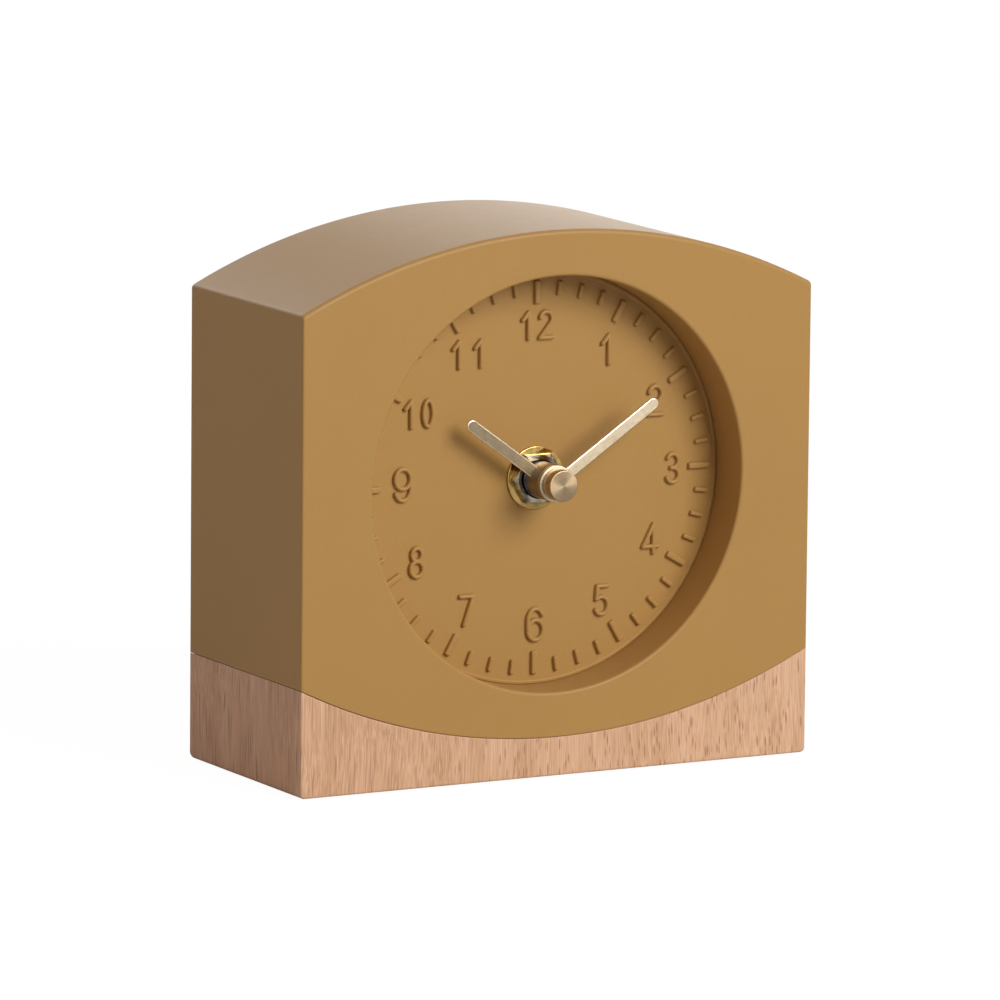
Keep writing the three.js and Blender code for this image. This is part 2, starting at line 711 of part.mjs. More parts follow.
const hourBore = hourTubeRadius + tubeGap;
const minuteBore = minuteTubeRadius + tubeGap;
const hourBladeBackY = hourHubBackY - hourBladeRise;
const hourHand = hand(hourHandLength, hourHubBackY, hourHubHeight, hourBore, hourBladeBackY);
const minuteHand = hand(minuteHandLength, minuteHubBackY, minuteHubHeight, minuteBore, minuteHubBackY);
const capFrontY = capBackY - capHeight;
const capBody = turned(
  [
    [0, capBackY],
    [capRadius, capBackY],
    [capRadius, capFrontY + capEdge],
    [capRadius - capEdge, capFrontY],
    [0, capFrontY],
  ],
  32,
);
const cap = cut(capBody, rod(minuteBore, capFrontY + capFace, capBackY + cutMargin));
part(dialGroup, "hour_hand", hourHand, paleGold, [0, 0, 0], radians(hourAngle));
part(dialGroup, "minute_hand", minuteHand, paleGold, [0, 0, 0], radians(minuteAngle));
part(dialGroup, "hand_cap", cap, brass);

// Movement: local y runs back from the front of the case

const inside = caseSize / 2 - caseWall;
const coverInsideY = caseDepth - caseWall;
const bayTopZ = -inside + 2 * (batteryRadius + batteryGap);
const dividerTopZ = bayTopZ + caseWall;
const batteryZ = -inside + batteryRadius + batteryGap;
const batteryY = caseWall + batteryGap + batteryRadius;

// Arbors, at [x, z] from the dial's axis
const motionDistance = pitchRadius(cannonTeeth + minuteWheelTeeth, motionModule);
const hourModule = (2 * motionDistance) / (hourWheelTeeth + minutePinionTeeth);
const thirdDistance = pitchRadius(centreTeeth + leafTeeth, centreModule);
const thirdModule = (2 * thirdDistance) / (thirdTeeth + leafTeeth);
const minuteWheelPlace = clockPoint(minuteWheelAngle, motionDistance);
const settingPlace = clockPoint(
  settingAngle,
  pitchRadius(minuteWheelTeeth + settingTeeth, motionModule),
  minuteWheelPlace,
);
const thirdPlace = clockPoint(thirdAngle, thirdDistance);
const rotorPlace = clockPoint(
  rotorAngle,
  pitchRadius(intermediateTeeth + leafTeeth, intermediateModule),
  intermediatePlace,
);
const coilZ = inside - coilInset - coilHeight / 2;
const coilX = rotorPlace[0] - coreWidth;
const coreHalf = coilLength / 2 + coreWidth + bobbinWall;
const statorY = layerY(6);
const supportX = coilX + coreHalf - supportRadius;
const supportLeftX = coilX - coreHalf + supportRadius;
const supportZ = coilZ - coilHeight / 2 - supportRadius - supportGap;
const contactX = inside - caseGap;
const boardLeftX = -contactX + contactThickness + caseGap;
const boardRightX = coilX - coreHalf - boardGap;
const boardTopZ = inside - boardGap;
const boardBottomZ = boardTopZ - boardHeight;
const boardY = layerY(5);
const boardBackY = boardY + boardThickness;
const boardPosts = [
  [boardLeftX + 2 * supportRadius, boardBottomZ + 2 * supportRadius],
  [boardRightX - 2 * supportRadius, boardTopZ - 2 * supportRadius],
];
const tailY0 = boardY;
const tailY1 = boardBackY + caseGap;
const rotorBossTopY = layerY(5) - pinionOverhang - rotorBossGap;

function pivotHole([x, z], y0, y1) {
  return rod(arborRadius + pivotGap, y0, y1, x, z, 10);
}

function movementCase() {
  const half = caseSize / 2;
  const block = box(-half, half, 0, caseDepth, -half, half);
  const room = box(-inside, inside, caseWall, caseDepth + cutMargin, dividerTopZ, inside);
  const bay = box(-inside, inside, caseWall, caseDepth + cutMargin, -inside, bayTopZ);
  const notchDepth = contactThickness + 2 * caseGap + contactGap;
  const notchY = [tailY0 - caseGap, caseDepth + cutMargin];
  const notchZ = [bayTopZ - cutMargin, dividerTopZ + cutMargin];
  const notches = [-1, 1].map((side) => {
    const notchX = [side * inside, side * (inside - notchDepth)].sort((a, b) => a - b);
    return box(...notchX, ...notchY, ...notchZ);
  });
  const bushFrontY = bushEndY - movementFrontY;
  const bush = rod(bushRadius, bushFrontY, caseWall / 2, 0, 0, 32);
  const bushBore = rod(hourBore, bushFrontY - cutMargin, caseWall + cutMargin);
  const posts = [
    rod(minutePostRadius, caseWall / 2, layerY(2), ...minuteWheelPlace, 12),
    rod(supportRadius, caseWall / 2, statorY, supportX, supportZ, 12),
    rod(supportRadius, caseWall / 2, statorY, supportLeftX, supportZ, 12),
    rod(rotorBossRadius, caseWall / 2, rotorBossTopY, ...rotorPlace, 12),
    ...boardPosts.map(([x, z]) => rod(supportRadius, caseWall / 2, boardY, x, z, 12)),
  ];
  const pivots = [thirdPlace, intermediatePlace, settingPlace].map((place) =>
    pivotHole(place, caseWall - pivotDepth, caseWall + cutMargin),
  );
  const rotorPivot = pivotHole(rotorPlace, rotorBossTopY - pivotDepth, rotorBossTopY + cutMargin);
  return cut(join(cut(block, room, bay, ...notches), bush, ...posts), bushBore, ...pivots, rotorPivot);
}

function movementBackCover() {
  const edge = inside - caseGap;
  const plate = box(-edge, edge, coverInsideY, caseDepth, dividerTopZ + caseGap, edge);
  const pivots = [[0, 0], thirdPlace, intermediatePlace, rotorPlace].map((place) =>
    pivotHole(place, coverInsideY - cutMargin, coverInsideY + pivotDepth),
  );
  const through = [coverInsideY - cutMargin, caseDepth + cutMargin];
  const stemHole = rod(stemRadius + tubeGap, ...through, ...settingPlace, 16);
  return cut(plate, ...pivots, stemHole);
}

// Wheels. Straight-sided thin teeth, with a tooth at local twelve o'clock.

function gear(teeth, module, y0, y1) {
  const pitch = 360 / teeth;
  const tip = tipRadius(teeth, module);
  const root = pitchRadius(teeth, module) - dedendum * module;
  const outline = Array.from({ length: teeth }, (_, i) => [
    clockPoint((i - rootShare) * pitch, root),
    clockPoint((i - tipShare) * pitch, tip),
    clockPoint((i + tipShare) * pitch, tip),
    clockPoint((i + rootShare) * pitch, root),
  ]).flat();
  return carried(outline.reverse(), y0, y1);
}

const wheelLayer = (index) => [layerY(index), layerY(index) + wheelThickness];
const pinionLayer = (index) => [
  layerY(index) - pinionOverhang,
  layerY(index) + wheelThickness + pinionOverhang,
];

// The turn, in degrees, that puts a wheel in mesh with its driver
function meshTurn(driver, driven) {
  const [dx, dz] = [driven.place[0] - driver.place[0], driven.place[1] - driver.place[1]];
  const towards = (Math.atan2(dx, dz) * 180) / Math.PI;
  const driverPitch = 360 / driver.teeth;
  const drivenPitch = 360 / driven.teeth;
  const share = (towards - driver.turn) / driverPitch;
  return towards + 180 - (0.5 - share) * drivenPitch;
}

const axis = [0, 0];
const arborBackY = coverInsideY + pivotDepth - pivotGap;
const arborFrontY = caseWall - pivotDepth + pivotGap;
const arbor = (y0, y1) => rod(arborRadius, y0, y1, 0, 0, 10);
const clutchY = layerY(2) + wheelThickness + clutchGap;
const minuteTubeBackY = clutchY + clutchThickness + clutchReach;
const minuteTubeFrontY = capFrontY + capFace + tubeGap - movementFrontY;
const hourTubeFrontY = hourHubBackY - hourHubHeight - movementFrontY;

// Motion work: the minute tube carries its pinion through the hour wheel's tube
function minuteArbor() {
  const tube = rod(minuteTubeRadius, minuteTubeFrontY, minuteTubeBackY, 0, 0, 20);
  const pinion = gear(cannonTeeth, motionModule, ...pinionLayer(1));
  const bore = rod(secondsArborRadius + tubeGap, caseWall, minuteTubeBackY + cutMargin, 0, 0, 12);
  return cut(join(tube, pinion), bore);
}

function hourWheel() {
  const tube = rod(hourTubeRadius, hourTubeFrontY, layerY(0) + wheelThickness / 2, 0, 0, 24);
  const bore = rod(minuteBore, hourTubeFrontY - cutMargin, layerY(1) - tubeGap, 0, 0, 24);
  return cut(join(tube, gear(hourWheelTeeth, hourModule, ...wheelLayer(0))), bore);
}

function minuteWheel() {
  const wheel = gear(minuteWheelTeeth, motionModule, ...wheelLayer(1));
  const pinionFrontY = layerY(0) - pinionOverhang;
  const pinion = gear(minutePinionTeeth, hourModule, pinionFrontY, layerY(1) + wheelThickness / 2);
  const bore = rod(minutePostRadius + pivotGap, 0, layerY(3), 0, 0, 12);
  return cut(join(wheel, pinion), bore);
}

function settingStem() {
  const stem = rod(stemRadius, layerY(1), caseDepth + knobGap + knobHeight / 2, 0, 0, 16);
  const pivot = arbor(arborFrontY, layerY(1) + wheelThickness);
  return join(stem, pivot, gear(settingTeeth, motionModule, ...pinionLayer(1)));
}

function settingKnob() {
  const back = caseDepth + knobGap;
  const body = turned(
    [
      [0, back],
      [knobRadius, back],
      [knobRadius, back + knobHeight - knobEdge],
      [knobRadius - knobEdge, back + knobHeight],
      [0, back + knobHeight],
    ],
    knobFlutes * 2,
  );
  const flutes = Array.from({ length: knobFlutes }, (_, i) => {
    const [x, z] = clockPoint((360 / knobFlutes) * i, knobRadius + fluteRadius - fluteDepth);
    return rod(fluteRadius, back - cutMargin, back + knobHeight + cutMargin, x, z, 8);
  });
  const socket = rod(stemRadius + tubeGap, back - cutMargin, back + knobHeight / 2 + tubeGap, 0, 0, 16);
  return cut(body, ...flutes, socket);
}

// Going train: rotor, intermediate wheel, seconds wheel, third wheel and centre wheel
function centreWheel() {
  const wheel = gear(centreTeeth, centreModule, ...wheelLayer(2));
  return wheel.subtract(rod(minuteBore, 0, caseDepth, 0, 0, 20));
}

function thirdWheel() {
  const pinion = gear(leafTeeth, centreModule, ...pinionLayer(2));
  return join(arbor(arborFrontY, arborBackY), pinion, gear(thirdTeeth, thirdModule, ...wheelLayer(3)));
}

function secondsWheel() {
  const front = rod(secondsArborRadius, caseWall + tubeGap, layerY(4), 0, 0, 10);
  const pinion = gear(leafTeeth, thirdModule, ...pinionLayer(3));
  const wheel = gear(secondsTeeth, secondsModule, ...wheelLayer(4));
  return join(front, arbor(layerY(3), arborBackY), pinion, wheel);
}

function intermediateWheel() {
  const pinion = gear(leafTeeth, secondsModule, ...pinionLayer(4));
  const wheel = gear(intermediateTeeth, intermediateModule, ...wheelLayer(5));
  return join(arbor(arborFrontY, arborBackY), pinion, wheel);
}

function rotorPinion() {
  const pinion = gear(leafTeeth, intermediateModule, ...pinionLayer(5));
  return join(arbor(rotorBossTopY - pivotDepth + pivotGap, arborBackY), pinion);
}

const magnetY = statorY + sheetThickness / 2 - rotorHeight / 2;
const rotorMagnet = ring(arborRadius + pivotGap, rotorRadius, magnetY, magnetY + rotorHeight, 20);
const clutchWasher = ring(minuteBore, minuteBore + clutchWidth, clutchY, clutchY + clutchThickness, 20);

// Places a wheel, turned so that it meshes with its driver, and returns how its teeth stand
function wheel(name, made, material, place, teeth = 0, driver = null) {
  const turn = driver ? meshTurn(driver, { place, teeth }) : 0;
  part(movementGroup, name, made, material, [place[0], 0, place[1]], radians(turn));
  return (count) => ({ place, teeth: count, turn });
}

const cannon = wheel("minute_arbor", minuteArbor(), brass, axis)(cannonTeeth);
const motion = wheel("minute_wheel", minuteWheel(), whitePlastic, minuteWheelPlace, minuteWheelTeeth, cannon);
wheel("hour_wheel", hourWheel(), brass, axis, hourWheelTeeth, motion(minutePinionTeeth));
wheel("setting_stem", settingStem(), whitePlastic, settingPlace, settingTeeth, motion(minuteWheelTeeth));
wheel("setting_knob", settingKnob(), whitePlastic, settingPlace);
const centre = wheel("centre_wheel", centreWheel(), whitePlastic, axis)(centreTeeth);
const third = wheel("third_wheel", thirdWheel(), whitePlastic, thirdPlace, leafTeeth, centre)(thirdTeeth);
const seconds = wheel("seconds_wheel", secondsWheel(), whitePlastic, axis, leafTeeth, third)(secondsTeeth);
const intermediate = wheel(
  "intermediate_wheel",
  intermediateWheel(),
  whitePlastic,
  intermediatePlace,
  leafTeeth,
  seconds,
)(intermediateTeeth);
wheel("rotor_pinion", rotorPinion(), whitePlastic, rotorPlace, leafTeeth, intermediate);
part(movementGroup, "rotor_magnet", rotorMagnet, steel, [rotorPlace[0], 0, rotorPlace[1]]);
part(movementGroup, "clutch_washer", clutchWasher, steel);
part(movementGroup, "movement_case", movementCase(), blackPlastic);
part(movementGroup, "movement_back_cover", movementBackCover(), blackPlastic);

// Motor: a stator round the rotor, and a coil on the core that joins its two arms

function stator() {
  const [rx, rz] = rotorPlace;
  const y = [statorY, statorY + sheetThickness];
  const poleRadius = rotorRadius + rotorGap + coreWidth;
  const leftX = coilX - coreHalf;
  const rightX = coilX + coreHalf;
  const armZ = coilZ + coreWidth / 2;
  const made = join(
    rod(poleRadius, ...y, rx, rz, 28),
    box(rx, rightX, ...y, rz - coreWidth, rz + coreWidth),
    box(rightX - coreWidth, rightX, ...y, rz - coreWidth, armZ),
    box(leftX, rx, ...y, supportZ - supportRadius, supportZ + supportRadius),
    box(leftX, leftX + coreWidth, ...y, supportZ - supportRadius, armZ),
  );
  const through = [y[0] - cutMargin, y[1] + cutMargin];
  const rotorHole = rod(rotorRadius + rotorGap, ...through, rx, rz, 28);
  const intermediateHole = rod(arborRadius + 3 * pivotGap, ...through, ...intermediatePlace, 12);
  return cut(made, rotorHole, intermediateHole);
}

const coreMiddleY = statorY - sheetThickness / 2;
const windingDepth = 2 * (coverInsideY - coreMiddleY - bobbinWall);

// A rectangle about the coil's axis, carried along X
function aroundCore(depth, height, x0, x1) {
  const y = [coreMiddleY - depth / 2, coreMiddleY + depth / 2];
  return box(x0, x1, ...y, coilZ - height / 2, coilZ + height / 2);
}

const core = aroundCore(sheetThickness, coreWidth, coilX - coreHalf, coilX + coreHalf);
const tunnelDepth = sheetThickness + 2 * caseGap;
const tunnelHeight = coreWidth + 2 * caseGap;
const coilStart = coilX - coilLength / 2;
const coilEnd = coilX + coilLength / 2;
const coreTunnel = aroundCore(tunnelDepth, tunnelHeight, coilStart - cutMargin, coilEnd + cutMargin);
const barrelDepth = tunnelDepth + 2 * bobbinWall;
const barrelHeight = tunnelHeight + 2 * bobbinWall;
const bobbin = cut(
  join(
    aroundCore(barrelDepth, barrelHeight, coilStart, coilEnd),
    aroundCore(windingDepth + bobbinWall, coilHeight + bobbinWall, coilStart, coilStart + bobbinWall),
    aroundCore(windingDepth + bobbinWall, coilHeight + bobbinWall, coilEnd - bobbinWall, coilEnd),
  ),
  coreTunnel,
);
const windingStart = coilStart + bobbinWall + caseGap;
const windingEnd = coilEnd - bobbinWall - caseGap;
const winding = cut(
  aroundCore(windingDepth, coilHeight, windingStart, windingEnd),
  aroundCore(barrelDepth + 2 * caseGap, barrelHeight + 2 * caseGap, coilStart, coilEnd),
);
part(movementGroup, "stator", stator(), steel);
part(movementGroup, "coil_core", core, steel);
part(movementGroup, "coil_bobbin", bobbin, whitePlastic);
part(movementGroup, "coil_winding", winding, copper);

// Circuit board with its chip and crystal
const board = box(boardLeftX, boardRightX, boardY, boardBackY, boardBottomZ, boardTopZ);
const chip = turned([[0, 0], [chipRadius, 0], [chipRadius * 0.75, chipHeight * 0.7], [0, chipHeight]], 16);
const chipPlace = [(boardLeftX + boardRightX) / 2, boardBackY, boardTopZ - boardHeight / 3];
const crystalPlace = [chipPlace[0], boardBackY + crystalRadius + caseGap, boardTopZ - boardHeight * 0.75];
const crystalBar = new THREE.CylinderGeometry(crystalRadius, crystalRadius, crystalLength, 12);
part(movementGroup, "circuit_board", board, boardGreen);
part(movementGroup, "circuit_chip", chip, blackPlastic, chipPlace);
part(movementGroup, "quartz_crystal", solid(crystalBar.rotateZ(Math.PI / 2)), steel, crystalPlace);

// Battery contacts, each with a tail to the circuit board
const contactY0 = batteryY - contactWidth / 2;
const contactZ0 = batteryZ - contactWidth / 2;
const contactZ1 = batteryZ + contactWidth / 2;

function contactPlate(side) {
  const x = [side * contactX, side * (contactX - contactThickness)].sort((a, b) => a - b);
  const plate = box(...x, contactY0, tailY1, contactZ0, contactZ1);
  const riserTopZ = dividerTopZ + 2 * caseGap + contactThickness;
  const riser = box(...x, tailY0, tailY1, contactZ1 - cutMargin, riserTopZ);
  return join(plate, riser);
}

const canHalf = batteryLength / 2;
const batteryX = contactX - contactThickness - contactGap - buttonLength - canHalf;

function negativeContact() {
  const x0 = -contactX;
  const spring = [
    [x0, contactZ0],
    [x0 + contactThickness, contactZ0],
    [batteryX - canHalf - contactGap, batteryZ],
    [x0 + contactThickness, contactZ1],
    [x0, contactZ1],
  ];
  const leaf = carried(spring, batteryY - springWidth / 2, batteryY + springWidth / 2);
  const tail = box(x0, x0 + contactThickness, tailY0, tailY1, dividerTopZ, boardBottomZ + contactWidth / 3);
  return join(contactPlate(-1), leaf, tail);
}

function positiveContact() {
  const railZ = dividerTopZ + 2 * caseGap;
  const turnX = boardLeftX + tailInset;
  const rail = box(turnX, contactX, tailY0, tailY1, railZ, railZ + contactThickness);
  const tail = box(turnX, turnX + contactThickness, tailY0, tailY1, railZ, boardBottomZ - caseGap);
  return join(contactPlate(1), rail, tail);
}

part(movementGroup, "negative_contact", negativeContact(), steel);
part(movementGroup, "positive_contact", positiveContact(), steel);

// Battery, lying along X in the bay, its button on the right
const battery = turned(
  [
    [0, -canHalf],
    [batteryRadius - batteryEdge, -canHalf],
    [batteryRadius, -canHalf + batteryEdge],
    [batteryRadius, canHalf - batteryEdge],
    [batteryRadius - batteryEdge, canHalf],
    [buttonRadius, canHalf],
    [buttonRadius, canHalf + buttonLength],
    [0, canHalf + buttonLength],
  ],
  24,
).rotate([0, 0, -90]);
part(movementGroup, "battery", battery, batterySleeve, [batteryX, batteryY, batteryZ]);

export default clock;
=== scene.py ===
"""The looks of a table clock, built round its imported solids.

Sizes below are in millimetres, and a mesh is made in metres. +Z is up and the dial faces -Y.
"""

import json
import math

import bmesh
import bpy
from mathutils import Euler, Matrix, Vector


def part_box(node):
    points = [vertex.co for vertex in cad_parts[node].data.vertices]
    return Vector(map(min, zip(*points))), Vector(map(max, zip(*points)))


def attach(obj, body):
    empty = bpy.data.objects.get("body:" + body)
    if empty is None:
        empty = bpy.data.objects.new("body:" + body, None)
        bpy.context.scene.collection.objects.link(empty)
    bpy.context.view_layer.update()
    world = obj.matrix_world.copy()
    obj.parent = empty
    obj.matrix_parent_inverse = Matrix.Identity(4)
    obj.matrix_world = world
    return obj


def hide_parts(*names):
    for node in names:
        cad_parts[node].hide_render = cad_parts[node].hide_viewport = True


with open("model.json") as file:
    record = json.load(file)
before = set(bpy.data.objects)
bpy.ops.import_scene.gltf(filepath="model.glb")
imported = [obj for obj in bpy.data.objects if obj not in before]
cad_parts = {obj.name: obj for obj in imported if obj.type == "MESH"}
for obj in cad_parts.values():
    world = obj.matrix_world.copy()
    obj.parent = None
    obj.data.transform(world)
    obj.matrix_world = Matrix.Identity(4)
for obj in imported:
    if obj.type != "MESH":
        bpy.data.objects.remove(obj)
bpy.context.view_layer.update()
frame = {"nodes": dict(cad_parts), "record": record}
nodes = frame["nodes"]
scene = bpy.context.scene
MM = 0.001

# Body
HALF_WIDTH = 65.0
ARCH_RISE = 15.5
FRONT_Y = -26.4
BACK_Y = 28.6
BASE_Z = 0.6
SEAM_SIDE_Z = 24.8
SIDE_TOP_Z = 109.3
SEAM_GAP = 0.12
TOP_EDGE = 1.0
SIDE_EDGE = 0.5
SEAM_EDGE = 0.06
WOOD_EDGE = 0.3
CORNER = 0.9
FOOT_CORNER = 1.15
LEAST_CORNER = 0.3
FOOT_BACK_EDGE = 1.2
SUPPORT = 0.3
WALL = 2.5
BACK_CHAMFER = 0.4
SEAM_CLEARANCE = 0.3
MIDDLE_Y = (FRONT_Y + BACK_Y) / 2
ARCH_RADIUS = (HALF_WIDTH**2 + ARCH_RISE**2) / (2 * ARCH_RISE)
ARCH_CENTRE_Z = SIDE_TOP_Z + ARCH_RISE - ARCH_RADIUS
SEAM_CENTRE_Z = SEAM_SIDE_Z - ARCH_RISE + ARCH_RADIUS
HOUSING_SEAM_RADIUS = ARCH_RADIUS - SEAM_CLEARANCE
ARC_STEPS = 96
SIDE_STEPS = 40
BASE_SIDE_STEPS = 12
CORNER_STEPS = 8

# Opening and dial
DIAL_Z = 67.05
OPENING_RADIUS = 47.3
OPENING_EDGE = 0.7
SLEEVE_WALL = 2.0
SLEEVE_END_Y = -12.7
DIAL_RADIUS = 46.9
DIAL_FACE_Y = -14.9
DIAL_BACK_Y = -12.4
FLANGE_BACK_Y = -10.8
BUSH_HOLE = 4.3
RELIEF = 0.95
SINK = 0.02
BEAD_POWER = 2.6
LEAST_END = 0.02
END_FALL = 0.6
MARK_COUNT = 48
MARKS_PER_HOUR = 4
MARK_OUTER = 45.0
MARK_CORNER = 0.4
HOUR_MARK = (5.4, 1.5)
QUARTER_MARK = (3.4, 1.1)
NUMERAL_RADIUS = 34.2
NUMERAL_HEIGHT = 7.6
NUMERAL_STROKE = 1.1
PAIR_HEIGHT = 7.0
PAIR_SPACING = {10: 4.65, 11: 5.55, 12: 4.85}
NUMERAL_SHIFT = {
    1: (1.1, -1.5),
    2: (1.2, -1.4),
    3: (1.4, -0.2),
    4: (0.3, 1.0),
    5: (0.3, 0.3),
    6: (0.3, 0.6),
    7: (-0.3, 0.5),
    8: (-0.6, -0.1),
    9: (0.3, 0.7),
    10: (-0.3, -0.6),
    11: (-0.3, -0.4),
    12: (-0.1, 0.6),
}

# Washer, nut and bush
WASHER_RADIUS = 7.2
WASHER_FRONT_Y = -15.5
NUT_FLAT = 5.5
NUT_BORE = 4.15
NUT_FRONT_Y = -17.4
THREAD_CREST = 4.12
THREAD_ROOT = 3.98
THREAD_PITCH = 0.22
BUSH_BORE = 3.0
BUSH_END_Y = -18.15

# Hands
MINUTE_ANGLE = 56.4
HOUR_ANGLE = 305.9
HAND_WIDTH = 2.85
HAND_THICKNESS = 0.5
HUB_RADIUS = 4.2
RIM_START = 4.3
CAP_RADIUS = 3.58
CAP_FRONT_Y = -28.6
CAP_BACK_Y = -25.3

# Meshes: edges that turn by more degrees than SHARP are drawn sharp; the rest is in metres
SHARP = 38
SAME_POINT = 1e-7
SLIVER = 1e-6


def arc(cx, cz, rx, rz, start, end, steps):
    """Points on an ellipse, with angles in degrees."""
    angles = [math.radians(start + (end - start) * i / steps) for i in range(steps + 1)]
    return [(cx + rx * math.cos(a), cz + rz * math.sin(a)) for a in angles]


def line(start, end, steps):
    return [
        (start[0] + (end[0] - start[0]) * i / steps, start[1] + (end[1] - start[1]) * i / steps)
        for i in range(steps + 1)
    ]


def clock_point(degrees, radius):
    return radius * math.sin(math.radians(degrees)), radius * math.cos(math.radians(degrees))


def rounded(corners, steps=4, closed=False):
    """A polyline whose corners, given as (x, y) or (x, y, radius), are rounded."""
    points = []
    count = len(corners)
    for i, corner in enumerate(corners):
        at = Vector(corner[:2])
        radius = corner[2] if len(corner) > 2 else 0
        if not radius or (not closed and i in (0, count - 1)):
            points.append(tuple(at))
            continue
        back = (Vector(corners[i - 1][:2]) - at).normalized()
        ahead = (Vector(corners[(i + 1) % count][:2]) - at).normalized()
        half = back.angle(ahead) / 2
        centre = at + (back + ahead).normalized() * (radius / math.sin(half))
        first = at + back * (radius / math.tan(half)) - centre
        last = at + ahead * (radius / math.tan(half)) - centre
        sweep = first.angle(last)
        for k in range(steps + 1):
            t = k / steps
            a = math.sin((1 - t) * sweep) / math.sin(sweep)
            b = math.sin(t * sweep) / math.sin(sweep)
            points.append(tuple(centre + first * a + last * b))
    return points


class Form:
    """The points and faces of one piece, in millimetres."""

    def __init__(self):
        self.points = []
        self.faces = []

    def loop(self, points):
        first = len(self.points)
        self.points.extend(points)
        return list(range(first, len(self.points)))

    def strip(self, a, b):
        for i in range(len(a)):
            j = (i + 1) % len(a)
            self.faces.append((a[i], a[j], b[j], b[i]))

    def fan(self, centre, ring):
        for i, point in enumerate(ring):
            self.faces.append((centre, point, ring[(i + 1) % len(ring)]))

    def stack(self, loops, cycle=False):
        """Loops of (x, y, z) points joined one to the next, with faces on both ends or as a cycle."""
        made = [self.loop(points) for points in loops]
        for a, b in zip(made, made[1:]):
            self.strip(a, b)
        if cycle:
            self.strip(made[-1], made[0])
        else:
            self.faces.append(tuple(made[0]))
            self.faces.append(tuple(reversed(made[-1])))

    def turned(self, profile, segments, x=0.0, z=0.0, closed=False):
        """A profile of (radius, y) points turned about an axis along Y."""
        rings = []
        for radius, y in profile:
            if radius < 1e-6:
                rings.append(self.loop([(x, y, z)]))
                continue
            places = [clock_point(360 * i / segments, radius) for i in range(segments)]
            rings.append(self.loop([(x + dx, y, z + dz) for dx, dz in places]))
        pairs = list(zip(rings, rings[1:]))
        if closed:
            pairs.append((rings[-1], rings[0]))
        for a, b in pairs:
            if len(a) == 1:
                self.fan(a[0], b)
            elif len(b) == 1:
                self.fan(b[0], a)
            else:
                self.strip(a, b)


def mesh_of(name, form, sharp=SHARP):
    mesh = bpy.data.meshes.new(name)
    mesh.from_pydata([(x * MM, y * MM, z * MM) for x, y, z in form.points], [], form.faces)
    shape = bmesh.new()
    shape.from_mesh(mesh)
    bmesh.ops.remove_doubles(shape, verts=shape.verts, dist=SAME_POINT)
    bmesh.ops.recalc_face_normals(shape, faces=shape.faces)
    shape.to_mesh(mesh)
    shape.free()
    smooth(mesh, sharp)
    return mesh


def smooth(mesh, sharp):
    mesh.shade_smooth()
    mesh.set_sharp_from_angle(angle=math.radians(sharp))


def piece(name, mesh, body, slot, material, replaces=(), place=(0, 0, 0), turn=(0, 0, 0)):
    """A piece of the clock, which rides on a body and stands for CAD nodes."""
    made = bpy.data.objects.new(name, mesh)
    scene.collection.objects.link(made)
    made.location = Vector(place) * MM
    made.rotation_euler = Euler([math.radians(a) for a in turn])
    if not mesh.materials:
        mesh.materials.append(material)
    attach(made, body)
    if replaces:
        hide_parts(*replaces)
    return made


def node_distance(name, place):
    """How far the middle of a CAD node's box lies from a place."""
    low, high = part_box(name)
    return ((Vector(low) + Vector(high)) / 2 - Vector(place) * MM).length


def nearest_node(stem, count, place):
    """The numbered CAD node that lies closest to a place."""
    names = [f"{stem}_{k}" for k in range(1, count + 1)]
    return min(names, key=lambda name: node_distance(name, place))


def carved(mesh, cutters, sharp=SHARP):
    """A mesh with the cutters' forms taken out of it."""
    target = bpy.data.objects.new("target", mesh)
    scene.collection.objects.link(target)
    tools = []
    for i, form in enumerate(cutters):
        tool = bpy.data.objects.new(f"cutter_{i}", mesh_of(f"cutter_{i}", form))
        scene.collection.objects.link(tool)
        cut = target.modifiers.new(f"cut_{i}", "BOOLEAN")
        cut.object = tool
        cut.operation = "DIFFERENCE"
        cut.solver = "EXACT"
        tools.append(tool)
    bpy.context.view_layer.update()
    graph = bpy.context.evaluated_depsgraph_get()
    made = bpy.data.meshes.new_from_object(target.evaluated_get(graph))
    for spent in [target, *tools]:
        bpy.data.objects.remove(spent)
    shape = bmesh.new()
    shape.from_mesh(made)
    bmesh.ops.dissolve_degenerate(shape, dist=SLIVER, edges=shape.edges)
    shape.to_mesh(made)
    shape.free()
    smooth(made, sharp)
    return made


# Materials


